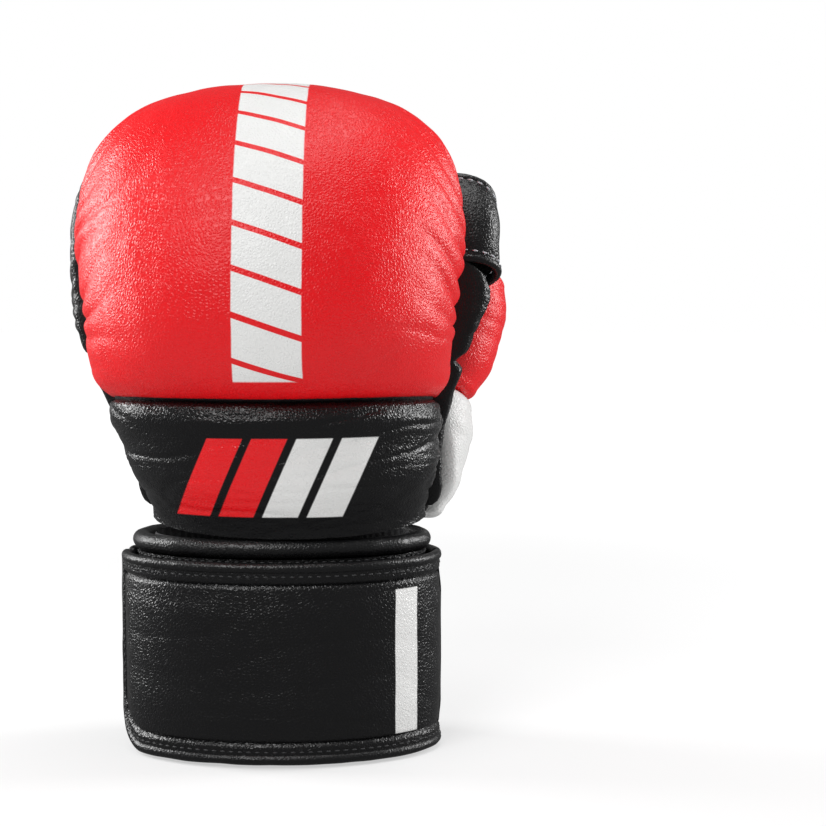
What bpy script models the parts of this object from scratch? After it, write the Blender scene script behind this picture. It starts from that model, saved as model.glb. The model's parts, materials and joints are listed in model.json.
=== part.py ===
"""A left-hand padded MMA sparring glove, standing on its cuff with the fingers up.

+X is the thumb side, -Y the back of the hand, +Y the palm, +Z up. Sizes are in millimetres.
"""

import math

import bmesh
import bpy
from mathutils import Matrix, Vector
from mathutils.geometry import interpolate_bezier

MM = 0.001

# Driving dimensions
CUFF_HALF_WIDTH = 57.4
CUFF_HALF_DEPTH = 36.4
CUFF_HEIGHT = 87.5
CUFF_WALL = 5.0
HEM_TUCK = 9.5
HEM_TUCK_HEIGHT = 26.0
TUBE_SEGMENTS = 36
STRAP_BOTTOM = 1.2
STRAP_TOP = 79.5
STRAP_THICKNESS = 3.0
STRAP_CORNER_RADIUS = 25.0
TAPE_THICKNESS = 1.1
TAPE_WIDTH = 46.0
TAPE_LENGTH_DEGREES = 50.0
BINDING_HEIGHT = 7.0
BINDING_PROUD = 0.9
STRAP_BINDING_WIDTH = 4.2
GAP = 0.4
LAYER_GAP = 0.6
SKIN = 1.6
LINING = 1.3

WRIST_SETBACK = 29.0
BACK_LEAN_DEGREES = 9.2
BACK_LENGTH = 70.4
CURL_RADIUS = 80.0
CURL_DEGREES = 87.0
SEAM_AT = 59.5
WRIST_SIDE_SHIFT = 3.3
SEAM_SIDE_SHIFT = -3.0
KNUCKLE_WIDENING_LENGTH = 50.0
NARROWING_FROM = 150.0
WRAP_EASING_FROM = 95.0
WRIST_SWELL_LENGTH = 26.0
SEAM_PINCH_LENGTH = 12.0
WRIST_HALF_WIDTH = 50.0
SEAM_HALF_WIDTH = 55.5
KNUCKLE_HALF_WIDTH = 57.5
RIM_HALF_WIDTH = 55.0
WRIST_WRAP = 32.0
KNUCKLE_WRAP = 40.0
RIM_WRAP = 15.0
BAND_FOAM = 17.0
WRIST_FOAM = 8.0
SEAM_FOAM = 14.5
KNUCKLE_FOAM = 31.0
RIM_FOAM = 10.0
SIDE_THINNING = 0.45
RIM_TAPER_LENGTH = 60.0
KNUCKLE_SWELL_LENGTH = 26.0
FIRM_FOAM_SHARE = 0.5

GUSSET_INNER = 0.6
GUSSET_WRIST_SHARE = 0.45
GUSSET_SWELL_FROM, GUSSET_SWELL_LENGTH = 20.0, 60.0
PINKY_BULGE = 25.0
THUMB_BULGE = 21.0
PINKY_GUSSET_DEPTH = 24.0
THUMB_GUSSET_DEPTH = 8.0
THUMB_GUSSET_END = 110.0

HEEL_HEIGHT = 20.0
HEEL_WALL = 3.0
ROLL_RADIUS = 3.3

LOOP_WALL = 2.4
LOOP_DEPTH = 24.0
LOOP_WIDTH = 25.4
LOOP_PITCH = 28.6
LITTLE_LOOP_X = -41.6
LOOP_FROM_DEGREES, LOOP_TO_DEGREES = 20.0, 47.0
INDEX_LOOP_FROM, INDEX_LOOP_TO = 128.0, 178.0
INDEX_LOOP_REACH = 33.0

THUMB_BORE = 13.0
THUMB_BASE = Vector((43.0, 20.0, 95.0))
THUMB_TIP = Vector((71.5, 51.0, 192.0))
THUMB_EDGE_FOAM = 4.5
THUMB_FOAM = 11.0
THUMB_PAD_DEGREES = 88.0
THUMB_BACK_EDGE_AT_BASE = 20.0
THUMB_BACK_EDGE_LENGTH = 60.0
THUMB_SPLIT = 52.0
THUMB_SLEEVE_FROM = 56.0
THUMB_SLEEVE_TO = 97.0
THUMB_SLEEVE_WALL = 2.0
THUMB_BINDING_RADIUS = 2.6

GRID_ACROSS = 14

# Finishes: colour, roughness, metallic
FINISHES = {
    "red_leather": ((0.62, 0.012, 0.016, 1), 0.42, 0.0),
    "white_leather": ((0.82, 0.82, 0.80, 1), 0.42, 0.0),
    "black_leather": ((0.012, 0.012, 0.013, 1), 0.36, 0.0),
    "black_binding": ((0.018, 0.018, 0.019, 1), 0.4, 0.0),
    "foam": ((0.16, 0.16, 0.17, 1), 0.95, 0.0),
    "lining": ((0.03, 0.03, 0.032, 1), 0.9, 0.0),
    "fastener_tape": ((0.02, 0.02, 0.02, 1), 0.98, 0.0),
}


def clear_scene():
    for obj in list(bpy.data.objects):
        bpy.data.objects.remove(obj, do_unlink=True)


def finish_material(name):
    material = bpy.data.materials.get(name)
    if material:
        return material
    colour, roughness, metallic = FINISHES[name]
    material = bpy.data.materials.new(name)
    material.use_nodes = True
    shader = material.node_tree.nodes["Principled BSDF"]
    shader.inputs["Base Color"].default_value = colour
    shader.inputs["Roughness"].default_value = roughness
    shader.inputs["Metallic"].default_value = metallic
    return material


def smooth(x):
    x = min(max(x, 0.0), 1.0)
    return x * x * (3 - 2 * x)


def spaced(start, end, steps):
    return [start + (end - start) * i / steps for i in range(steps + 1)]


# ---------------------------------------------------------------- bodies

class Body:
    """An empty on a joint's axis, which the pieces of one moving body hang from."""

    def __init__(self, name, pivot):
        self.pivot = Vector(pivot)
        self.empty = bpy.data.objects.new(name, None)
        bpy.context.scene.collection.objects.link(self.empty)
        self.parent = None

    def hang_from(self, parent):
        self.empty.parent = parent.empty
        self.empty.location = (self.pivot - parent.pivot) * MM
        self.parent = parent
        return self


def add_piece(name, bm, body, finish, sharp_degrees=40):
    """Turns a bmesh in glove millimetres into a named object that hangs from a body."""
    bmesh.ops.recalc_face_normals(bm, faces=bm.faces)
    if bm.calc_volume(signed=True) < 0:
        bmesh.ops.reverse_faces(bm, faces=bm.faces)
    bmesh.ops.transform(bm, matrix=Matrix.Scale(MM, 4) @ Matrix.Translation(-body.pivot), verts=bm.verts)
    mesh = bpy.data.meshes.new(name)
    bm.to_mesh(mesh)
    bm.free()
    obj = bpy.data.objects.new(name, mesh)
    bpy.context.scene.collection.objects.link(obj)
    obj.parent = body.empty
    mesh.materials.append(finish_material(finish))
    mesh.shade_smooth()
    mesh.set_sharp_from_angle(angle=math.radians(sharp_degrees))
    return obj


def cut(obj, cutter):
    cutter.hide_render = True
    cutter.display_type = "WIRE"
    modifier = obj.modifiers.new("cut_" + cutter.name, "BOOLEAN")
    modifier.operation = "DIFFERENCE"
    modifier.solver = "EXACT"
    modifier.object = cutter


# ---------------------------------------------------------------- mesh builders

def loft(rings, ring_closed=True, path_closed=False):
    """A closed surface through rings of points: capped at its ends, unless the path closes on itself."""
    bm = bmesh.new()
    rows = [[bm.verts.new(point) for point in ring] for ring in rings]
    steps = len(rows) if path_closed else len(rows) - 1
    for i in range(steps):
        a, b = rows[i], rows[(i + 1) % len(rows)]
        for j in range(len(a) if ring_closed else len(a) - 1):
            k = (j + 1) % len(a)
            bm.faces.new((a[j], a[k], b[k], b[j]))
    if not path_closed:
        bm.faces.new(rows[0])
        bm.faces.new(list(reversed(rows[-1])))
    return bm


def slab(point, across, along, inner, outer):
    """A curved block: point(u, s, t) over a grid, between the depths inner(u, s) and outer(u, s)."""
    rings = []
    for s in along:
        top = [point(u, s, outer(u, s)) for u in across]
        bottom = [point(u, s, inner(u, s)) for u in reversed(across)]
        rings.append(top + bottom)
    bm = bmesh.new()
    rows = [[bm.verts.new(p) for p in ring] for ring in rings]
    n = len(across)
    for a, b in zip(rows, rows[1:]):
        for j in range(2 * n):
            k = (j + 1) % (2 * n)
            bm.faces.new((a[j], a[k], b[k], b[j]))
    for row in (rows[0], rows[-1]):
        for j in range(n - 1):
            bm.faces.new((row[j], row[j + 1], row[2 * n - 2 - j], row[2 * n - 1 - j]))
    return bm


def tube(points, radius, sides=8, closed=False):
    """A round roll along a list of points, with a steady frame so that it does not twist."""
    rings = []
    count = len(points)
    normal = None
    for i, p in enumerate(points):
        if closed:
            tangent = points[(i + 1) % count] - points[i - 1]
        else:
            tangent = points[min(i + 1, count - 1)] - points[max(i - 1, 0)]
        tangent.normalize()
        if normal is None:
            normal = tangent.orthogonal().normalized()
        normal = (normal - tangent * normal.dot(tangent)).normalized()
        side = tangent.cross(normal)
        turns = [2 * math.pi * k / sides for k in range(sides)]
        rings.append([p + radius * (math.cos(a) * normal + math.sin(a) * side) for a in turns])
    return loft(rings, path_closed=closed)


# ---------------------------------------------------------------- cuff and strap

def hem_tuck(z):
    """How far the sleeve draws in near its lower hem."""
    return HEM_TUCK * (1 - smooth(z / HEM_TUCK_HEIGHT))


def cuff_point(degrees, z, offset, tucked=True):
    """A point on the sleeve's oval at this height, offset outwards from its outer surface."""
    angle = math.radians(degrees)
    tuck = hem_tuck(z) if tucked else 0
    half_width = CUFF_HALF_WIDTH - tuck
    half_depth = CUFF_HALF_DEPTH - tuck * 0.6
    normal = Vector((math.cos(angle) / half_width, math.sin(angle) / half_depth, 0)).normalized()
    on_oval = Vector((half_width * math.cos(angle), half_depth * math.sin(angle), z))
    return on_oval + normal * offset


def cuff_ring(name, sections, body, finish, segments=TUBE_SEGMENTS):
    """A full ring round the wrist, whose profile is a list of (offset, height)."""
    rings = []
    for i in range(segments):
        degrees = 360 * i / segments
        rings.append([cuff_point(degrees, z, offset) for offset, z in sections])
    return add_piece(name, loft(rings, path_closed=True), body, finish)


def strap_band(name, start, end, low, high, inner, outer, body, finish, steps=24):
    """A band of the strap between two angles round the wrist; it does not tuck in at the hem."""
    rings = []
    for degrees in spaced(start, end, steps):
        bottom, top = low(degrees), high(degrees)
        profile = [(inner, bottom), (outer, bottom), (outer, top), (inner, top)]
        rings.append([cuff_point(degrees, z, offset, tucked=False) for offset, z in profile])
    return add_piece(name, loft(rings), body, finish)


def make_cuff(hand):
    heights = [BINDING_HEIGHT + GAP, 13, 20, HEM_TUCK_HEIGHT, CUFF_HEIGHT - BINDING_HEIGHT - GAP]
    outside = [(0, z) for z in heights]
    inside = [(-CUFF_WALL, z) for z in reversed(heights)]
    cuff_ring("cuff_sleeve", outside + inside, hand, "black_leather")

    heights = [0.6, 9, 18, HEM_TUCK_HEIGHT, CUFF_HEIGHT - 0.6]
    lining_outer = -CUFF_WALL - LAYER_GAP
    outside = [(lining_outer, z) for z in heights]
    inside = [(lining_outer - LINING, z) for z in reversed(heights)]
    cuff_ring("cuff_lining", outside + inside, hand, "lining")

    inner, outer = -CUFF_WALL, BINDING_PROUD
    top, foot = CUFF_HEIGHT, CUFF_HEIGHT - BINDING_HEIGHT
    bevel = 2.2
    profile = [(inner, foot), (outer, foot), (outer + 1.2, foot + bevel), (outer + 1.2, top - bevel),
               (outer - 1.2, top), (inner + 1.2, top), (inner, top - bevel)]
    cuff_ring("cuff_top_binding", profile, hand, "black_binding")
    profile = [(inner, 0), (0, 0), (BINDING_PROUD, bevel), (BINDING_PROUD, BINDING_HEIGHT - 1.5),
               (0, BINDING_HEIGHT), (inner, BINDING_HEIGHT)]
    cuff_ring("cuff_bottom_binding", profile, hand, "black_binding")


LOOP_TAPE = (GAP, GAP + TAPE_THICKNESS)
HOOK_TAPE = (LOOP_TAPE[1] + GAP, LOOP_TAPE[1] + GAP + TAPE_THICKNESS)
STRAP_INNER = HOOK_TAPE[1] + GAP
STRAP_OUTER = STRAP_INNER + STRAP_THICKNESS
STRAP_ROLL = 0.5
FLAP_END_TOP, FLAP_END_SLANT = -180.0, 5.0
WRAP_END = 172.0
HINGE_GAP_DEGREES = 0.5
TAPE_MIDDLE = (STRAP_TOP + STRAP_BOTTOM) / 2 + 6


def level(height):
    return lambda degrees: height


def flap_edge_degrees(z):
    """Where the flap's free end lies at this height: it slants in towards its lower corner."""
    return FLAP_END_TOP + FLAP_END_SLANT * (1 - (z - STRAP_BOTTOM) / (STRAP_TOP - STRAP_BOTTOM))


def flap_corner(inset):
    """Angles and bottom heights of the flap's rounded lower corner, and of the straight run to it."""
    radius = STRAP_CORNER_RADIUS - inset
    end = flap_edge_degrees(STRAP_BOTTOM + STRAP_CORNER_RADIUS)
    mean_radius = (CUFF_HALF_WIDTH * 0.35 + CUFF_HALF_DEPTH * 0.65) + STRAP_OUTER
    to_degrees = math.degrees(1 / mean_radius)
    start = end + inset * to_degrees
    corner = []
    for turn in spaced(0, 90, 8):
        along = radius * (1 - math.sin(math.radians(90 - turn)))
        height = radius * (1 - math.cos(math.radians(90 - turn)))
        corner.append((start + along * to_degrees, STRAP_BOTTOM + inset + height))
    return corner


def make_flap_panel(name, inset, inner, outer, hinge, body, finish):
    """The flap as columns from its free end to its hinge: each column runs from its bottom to its top."""
    top = STRAP_TOP - inset
    corner = flap_corner(inset)
    free_end, last = corner[0][0], corner[-1][0]
    straight = [(degrees, STRAP_BOTTOM + inset) for degrees in spaced(last, hinge, 20)[1:]]
    top_end = FLAP_END_TOP + free_end - flap_corner(0)[0][0]
    stretch = (top_end - hinge) / (free_end - hinge)
    rings = []
    for degrees, bottom in corner + straight:
        top_degrees = hinge + (degrees - hinge) * stretch
        rings.append([
            cuff_point(degrees, bottom, inner, tucked=False),
            cuff_point(degrees, bottom, outer, tucked=False),
            cuff_point(top_degrees, top, outer, tucked=False),
            cuff_point(top_degrees, top, inner, tucked=False),
        ])
    return add_piece(name, loft(rings), body, finish)


def make_strap(hand, flap):
    hinge = HINGE_GAP_DEGREES
    wrap_low = STRAP_BOTTOM + STRAP_BINDING_WIDTH + GAP
    wrap_high = STRAP_TOP - STRAP_BINDING_WIDTH - GAP
    strap_band("strap_wrap", hinge, WRAP_END, level(wrap_low), level(wrap_high),
               STRAP_INNER, STRAP_OUTER, hand, "black_leather")
    strap_band("strap_wrap_padding", hinge + 4, WRAP_END - 4, level(wrap_low + 4), level(wrap_high - 4),
               GAP, STRAP_INNER - GAP, hand, "foam", steps=16)
    roll_in, roll_out = STRAP_INNER - STRAP_ROLL, STRAP_OUTER + STRAP_ROLL
    strap_band("strap_wrap_top_binding", hinge, WRAP_END, level(STRAP_TOP - STRAP_BINDING_WIDTH),
               level(STRAP_TOP), roll_in, roll_out, hand, "black_binding")
    strap_band("strap_wrap_bottom_binding", hinge, WRAP_END, level(STRAP_BOTTOM),
               level(STRAP_BOTTOM + STRAP_BINDING_WIDTH), roll_in, roll_out, hand, "black_binding")

    tape_low, tape_high = TAPE_MIDDLE - TAPE_WIDTH / 2, TAPE_MIDDLE + TAPE_WIDTH / 2
    tape_start = FLAP_END_TOP + 14
    strap_band("cuff_loop_patch", tape_start - 6, tape_start + TAPE_LENGTH_DEGREES, level(tape_low),
               level(tape_high), *LOOP_TAPE, hand, "fastener_tape", steps=10)
    strap_band("strap_hook_patch", tape_start, tape_start + TAPE_LENGTH_DEGREES - 6, level(tape_low + 2),
               level(tape_high - 2), *HOOK_TAPE, flap, "fastener_tape", steps=10)

    inset = STRAP_BINDING_WIDTH
    make_flap_panel("strap_flap", inset + GAP, STRAP_INNER, STRAP_OUTER, -hinge, flap, "black_leather")
    rim = make_flap_panel("strap_flap_binding", 0, roll_in, roll_out, -hinge, flap, "black_binding")
    hole = make_flap_panel("strap_flap_opening", inset, roll_in - 2, roll_out + 2, hinge, flap,
                           "black_binding")
    cut(rim, hole)


# ---------------------------------------------------------------- hand

LEAN = math.radians(BACK_LEAN_DEGREES)
HAND_BOTTOM = CUFF_HEIGHT + GAP + (WRIST_FOAM + 1) * math.sin(LEAN)
KNUCKLE_PIVOT_DEPTH = KNUCKLE_WRAP + PINKY_GUSSET_DEPTH + 4
ARC_START = Vector((0, -WRIST_SETBACK - BACK_LENGTH * math.sin(LEAN),
                    HAND_BOTTOM + BACK_LENGTH * math.cos(LEAN)))
ARC_CENTRE = ARC_START + CURL_RADIUS * Vector((0, math.cos(LEAN), math.sin(LEAN)))
SPINE_LENGTH = BACK_LENGTH + CURL_RADIUS * math.radians(CURL_DEGREES)


def spine(s):
    """The lining's middle line: its point and the direction towards the palm, at s along it from the wrist."""
    if s <= BACK_LENGTH:
        back = Vector((0, -math.sin(LEAN), math.cos(LEAN)))
        point = Vector((0, -WRIST_SETBACK, HAND_BOTTOM)) + back * s
        return point, Vector((0, math.cos(LEAN), math.sin(LEAN)))
    angle = (s - BACK_LENGTH) / CURL_RADIUS - LEAN
    inward = Vector((0, math.cos(angle), -math.sin(angle)))
    return ARC_CENTRE - CURL_RADIUS * inward, inward


def side_shift(s):
    """The hand leans a little to the little-finger side from the wrist up."""
    return WRIST_SIDE_SHIFT + (SEAM_SIDE_SHIFT - WRIST_SIDE_SHIFT) * smooth(s / SEAM_AT)


def half_width(s):
    grow = SEAM_HALF_WIDTH - WRIST_HALF_WIDTH
    knuckle = KNUCKLE_HALF_WIDTH - SEAM_HALF_WIDTH
    narrow = KNUCKLE_HALF_WIDTH - RIM_HALF_WIDTH
    width = WRIST_HALF_WIDTH + grow * smooth(s / SEAM_AT) + knuckle * smooth((s - SEAM_AT) / KNUCKLE_WIDENING_LENGTH)
    return width - narrow * smooth((s - NARROWING_FROM) / (SPINE_LENGTH - NARROWING_FROM))


def wrap_depth(s):
    rise = KNUCKLE_WRAP - WRIST_WRAP
    fall = KNUCKLE_WRAP - RIM_WRAP
    easing = smooth((s - WRAP_EASING_FROM) / (SPINE_LENGTH - WRAP_EASING_FROM))
    return WRIST_WRAP + rise * smooth(s / SEAM_AT) - fall * easing


def lining_point(u, s):
    point, inward = spine(s)
    angle = u * math.pi / 2
    across = side_shift(s) + half_width(s) * math.sin(angle)
    return point + Vector((across, 0, 0)) + inward * (wrap_depth(s) * (1 - math.cos(angle)))


def hand_point(u, s, t):
    """A point t outside the lining's surface, across it by u (-1 little finger, +1 thumb) and along by s."""
    step = 0.01
    around = lining_point(u + step, s) - lining_point(u - step, s)
    _, inward = spine(s)
    along = Vector((1, 0, 0)).cross(inward)
    normal = around.cross(along).normalized()
    return lining_point(u, s) + normal * t


def side_factor(u):
    return 1 - SIDE_THINNING * abs(u) ** 3


def band_thickness(u, s):
    puff = WRIST_FOAM + (BAND_FOAM - WRIST_FOAM) * smooth(s / WRIST_SWELL_LENGTH)
    pinch = (BAND_FOAM - SEAM_FOAM) * smooth((s - SEAM_AT + SEAM_PINCH_LENGTH) / SEAM_PINCH_LENGTH)
    return (puff - pinch) * side_factor(u)


def crown(x):
    """A rounded shoulder: 0 at 0, where it rises steeply, to 1 at 1, where it is level."""
    x = min(max(x, 0.0), 1.0)
    return (1 - (1 - x) ** 2) ** 0.75


def knuckle_thickness(u, s):
    swell = (KNUCKLE_FOAM - SEAM_FOAM) * crown((s - SEAM_AT) / KNUCKLE_SWELL_LENGTH)
    taper = (KNUCKLE_FOAM - RIM_FOAM) * (1 - crown((SPINE_LENGTH - s) / RIM_TAPER_LENGTH))
    return (SEAM_FOAM + swell - taper) * side_factor(u)


def across_grid(inset):
    """Columns across the hand, with the two outermost drawn in by this many millimetres."""
    edge = 1 - inset / (math.pi / 2 * (WRIST_WRAP + KNUCKLE_HALF_WIDTH) / 2)
    inner = [math.sin(x) for x in spaced(-math.pi / 2, math.pi / 2, GRID_ACROSS)][1:-1]
    return [-edge] + inner + [edge]


def along_grid(start, end, inset, steps):
    """Rows along a pad, with one more near each end; the end rows are drawn in by this many millimetres."""
    near = 2 * SKIN
    rows = [start] + spaced(start + near, end - near, steps) + [end]
    return [rows[0] + inset] + rows[1:-1] + [rows[-1] - inset]


def make_pad(prefix, start, end, steps, thickness, body, finish, foam_names):
    """A leather cover open at its back, with foam in it and a lining behind it."""
    back = LINING + LAYER_GAP

    def layer(name, inset, inner, outer, of_finish):
        grid = across_grid(inset), along_grid(start, end, inset, steps)
        return add_piece(name, slab(hand_point, *grid, inner, outer), body, of_finish)

    skin = layer(prefix + "_skin", 0, lambda u, s: back, thickness, finish)
    hollow = layer(prefix + "_hollow", SKIN, lambda u, s: back - 3,
                   lambda u, s: thickness(u, s) - SKIN, "foam")
    cut(skin, hollow)
    layer(prefix + "_lining", 0, lambda u, s: 0, lambda u, s: LINING, "lining")

    def foam_depth(share):
        return lambda u, s: back + share * (thickness(u, s) - SKIN - LAYER_GAP - back)

    count = len(foam_names)
    cuts = [0] + [FIRM_FOAM_SHARE] * (count - 1) + [1]
    for i, name in enumerate(foam_names):
        inner, outer = foam_depth(cuts[i]), foam_depth(cuts[i + 1])
        lift = LAYER_GAP if i else 0
        layer(name, SKIN + LAYER_GAP, lambda u, s, f=inner, g=lift: f(u, s) + g, outer, "foam")


def side_point(side, s, w, t):
    """A point beyond the pad's side edge: w towards the palm, t outwards."""
    _, inward = spine(s)
    return lining_point(side, s) + inward * w + Vector((side * t, 0, 0))


def make_gusset(name, side, start, end, depth, bulge, body, steps):
    """A padded side wall between the pad's edge and the palm opening."""
    rings = []
    for s in spaced(start, end, steps):
        thick = knuckle_thickness(1, s) if s > SEAM_AT else band_thickness(1, s)
        grown = smooth((s - GUSSET_SWELL_FROM) / GUSSET_SWELL_LENGTH)
        swell = bulge * (GUSSET_WRIST_SHARE + (1 - GUSSET_WRIST_SHARE) * grown)
        rings.append([
            side_point(side, s, GAP + 0.2, GUSSET_INNER),
            side_point(side, s, GAP + 0.2, thick * 0.9),
            side_point(side, s, depth * 0.22, max(swell * 0.93, thick)),
            side_point(side, s, depth * 0.5, swell),
            side_point(side, s, depth * 0.8, swell * 0.92),
            side_point(side, s, depth, swell * 0.72),
            side_point(side, s, depth, swell * 0.45),
            side_point(side, s, depth * 0.6, swell * 0.36),
        ])
    return add_piece(name, loft(rings), body, "black_leather", 60)


def make_hand(hand, knuckles):
    make_pad("backhand", 0, SEAM_AT - GAP / 2, 4, band_thickness, hand, "black_leather", ["backhand_foam"])
    make_pad("knuckle", SEAM_AT + GAP / 2, SPINE_LENGTH, 12, knuckle_thickness, knuckles, "red_leather",
             ["knuckle_foam_inner", "knuckle_foam_outer"])

    rim = []
    for u in spaced(-1, 1, 18):
        point, inward = spine(SPINE_LENGTH)
        outward_along = Vector((1, 0, 0)).cross(inward)
        rim.append(hand_point(u, SPINE_LENGTH, ROLL_RADIUS) + outward_along * (ROLL_RADIUS + GAP))
    add_piece("knuckle_rim_binding", tube(rim, ROLL_RADIUS), knuckles, "black_binding", 60)

    low, high = SEAM_AT - GAP / 2, SEAM_AT + GAP / 2
    make_gusset("gusset_pinky_lower", -1, 2, low, PINKY_GUSSET_DEPTH, PINKY_BULGE, hand, 6)
    make_gusset("gusset_pinky_upper", -1, high, SPINE_LENGTH - 6, PINKY_GUSSET_DEPTH, PINKY_BULGE, knuckles, 12)
    make_gusset("gusset_thumb_lower", 1, 2, low, THUMB_GUSSET_DEPTH, THUMB_BULGE, hand, 6)
    make_gusset("gusset_thumb_upper", 1, high, THUMB_GUSSET_END, THUMB_GUSSET_DEPTH, THUMB_BULGE, knuckles, 6)


# ---------------------------------------------------------------- palm heel

HEEL_FROM_DEGREES, HEEL_TO_DEGREES = 50.0, 138.0


def make_palm_heel(hand):
    low, high = HAND_BOTTOM, HAND_BOTTOM + HEEL_HEIGHT
    strap_band("palm_heel_panel", HEEL_FROM_DEGREES, HEEL_TO_DEGREES, level(low), level(high),
               -HEEL_WALL, 0, hand, "black_leather", steps=14)
    middle = -HEEL_WALL / 2
    edge = [cuff_point(a, high + ROLL_RADIUS + GAP, middle, tucked=False)
            for a in spaced(HEEL_FROM_DEGREES, HEEL_TO_DEGREES, 14)]
    add_piece("palm_heel_binding", tube(edge, ROLL_RADIUS), hand, "black_binding", 60)


# ---------------------------------------------------------------- finger loops

def curve_offset(path, i, offset):
    """A point of a flat path of (across, depth) pairs, moved sideways by this much."""
    ahead, behind = path[min(i + 1, len(path) - 1)], path[max(i - 1, 0)]
    along = (ahead[0] - behind[0], ahead[1] - behind[1])
    length = math.hypot(*along)
    return path[i][0] - along[1] / length * offset, path[i][1] + along[0] / length * offset


def strap_loop(name, path_at, place, start, end, body, steps=4):
    """A strip of leather of even thickness, whose path across the hand may change along it."""
    rings = []
    for s in spaced(start, end, steps):
        path = path_at(s)
        outside = [curve_offset(path, i, LOOP_WALL / 2) for i in range(len(path))]
        inside = [curve_offset(path, i, -LOOP_WALL / 2) for i in range(len(path))]
        rings.append([place(s, x, w) for x, w in outside + inside[::-1]])
    return add_piece(name, loft(rings), body, "black_leather", 60)


def arc_length_at(degrees):
    """Distance along the spine at which the pad has curled to this angle."""
    return BACK_LENGTH + CURL_RADIUS * (math.radians(degrees) + LEAN)


def lining_depth(s, x):
    """How far towards the palm the lining lies at this place across the hand."""
    share = min(abs(x - side_shift(s)) / half_width(s), 0.999)
    return wrap_depth(s) * (1 - math.sqrt(1 - share * share))


def place_in_hand(s, x, w):
    point, inward = spine(s)
    return Vector((x, 0, 0)) + point + inward * w


def make_finger_loops(knuckles):
    low, high = arc_length_at(LOOP_FROM_DEGREES), arc_length_at(LOOP_TO_DEGREES)
    for i, finger in enumerate(("little", "ring", "middle")):
        middle = LITTLE_LOOP_X + i * LOOP_PITCH

        def path_at(s):
            path = []
            for turn in spaced(0, math.pi, 10):
                x = middle - LOOP_WIDTH / 2 * math.cos(turn)
                stand_off = LOOP_WALL / 2 + 2 * GAP
                path.append((x, lining_depth(s, x) + stand_off + LOOP_DEPTH * math.sin(turn)))
            return path

        strap_loop("finger_loop_" + finger, path_at, place_in_hand, low, high, knuckles)

    def index_path(s):
        edge = side_shift(s) + half_width(s)
        reach = INDEX_LOOP_REACH
        corners = [Vector((edge - 18, -8)), Vector((edge - 22, 24)), Vector((edge + 2, 27)),
                   Vector((edge + reach * 0.45, 25)), Vector((edge + reach * 1.22, 22)),
                   Vector((edge + reach * 1.12, -2)), Vector((edge + reach * 0.66, 2.4))]
        first = interpolate_bezier(*[p.to_3d() for p in corners[:4]], 7)
        second = interpolate_bezier(*[p.to_3d() for p in corners[3:]], 8)
        return [(p.x, wrap_depth(s) + p.y) for p in list(first) + list(second)[1:]]

    strap_loop("finger_loop_index", index_path, place_in_hand, INDEX_LOOP_FROM, INDEX_LOOP_TO, knuckles, 5)


# ---------------------------------------------------------------- thumb

THUMB_ALONG = (THUMB_TIP - THUMB_BASE).normalized()
THUMB_OUT = (Vector((1, 0, 0)) - THUMB_ALONG * THUMB_ALONG.x).normalized()
THUMB_PALMWARD = THUMB_ALONG.cross(THUMB_OUT)
THUMB_LENGTH = (THUMB_TIP - THUMB_BASE).length


def thumb_point(degrees, s, t):
    """A point of the thumb: turned from its outer side towards the palm, s up it, t outside its bore."""
    angle = math.radians(degrees)
    out = THUMB_OUT * math.cos(angle) + THUMB_PALMWARD * math.sin(angle)
    return THUMB_BASE + THUMB_ALONG * s + out * (THUMB_BORE + t)


def thumb_back_edge(s):
    """The angle of the pads' edge on the back-of-hand side, which closes in beside the hand at the base."""
    spread = THUMB_PAD_DEGREES - THUMB_BACK_EDGE_AT_BASE
    return -THUMB_BACK_EDGE_AT_BASE - spread * smooth(s / THUMB_BACK_EDGE_LENGTH)


def thumb_column(share, s, inset=0):
    """An angle across the pads: share runs from 0 at the back-of-hand edge to 1 at the palm edge."""
    turn = math.degrees(inset / (THUMB_BORE + THUMB_EDGE_FOAM))
    low, high = thumb_back_edge(s) + turn, THUMB_PAD_DEGREES - turn
    return low + (high - low) * share


def thumb_pad_thickness(start, end):
    def thickness(degrees, s):
        round_off = 1 - abs(degrees / THUMB_PAD_DEGREES) ** 2.5
        share = (s - start) / (end - start)
        dome = smooth(min(share, 1 - share) * 3.2)
        full = LINING + LAYER_GAP + THUMB_EDGE_FOAM
        return full + (THUMB_FOAM - THUMB_EDGE_FOAM) * round_off * (0.35 + 0.65 * dome)
    return thickness


def make_thumb_pad(prefix, start, end, finish, thumb):
    thickness = thumb_pad_thickness(start, end)
    back = LINING + LAYER_GAP

    def layer(name, inset, inner, outer, of_finish):
        def place(share, s, t):
            return thumb_point(thumb_column(share, s, inset), s, t)

        rows = along_grid(start, end, inset, 5)
        def at(depth):
            return lambda share, s: depth(thumb_column(share, s, inset), s)

        return add_piece(name, slab(place, spaced(0, 1, 10), rows, at(inner), at(outer)), thumb, of_finish)

    skin = layer(prefix + "_skin", 0, lambda a, s: back, thickness, finish)
    hollow = layer(prefix + "_hollow", SKIN, lambda a, s: back - 1.5,
                   lambda a, s: thickness(a, s) - SKIN, "foam")
    cut(skin, hollow)
    layer(prefix + "_foam", SKIN + 2 * LAYER_GAP, lambda a, s: back,
          lambda a, s: thickness(a, s) - SKIN - LAYER_GAP, "foam")


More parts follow.
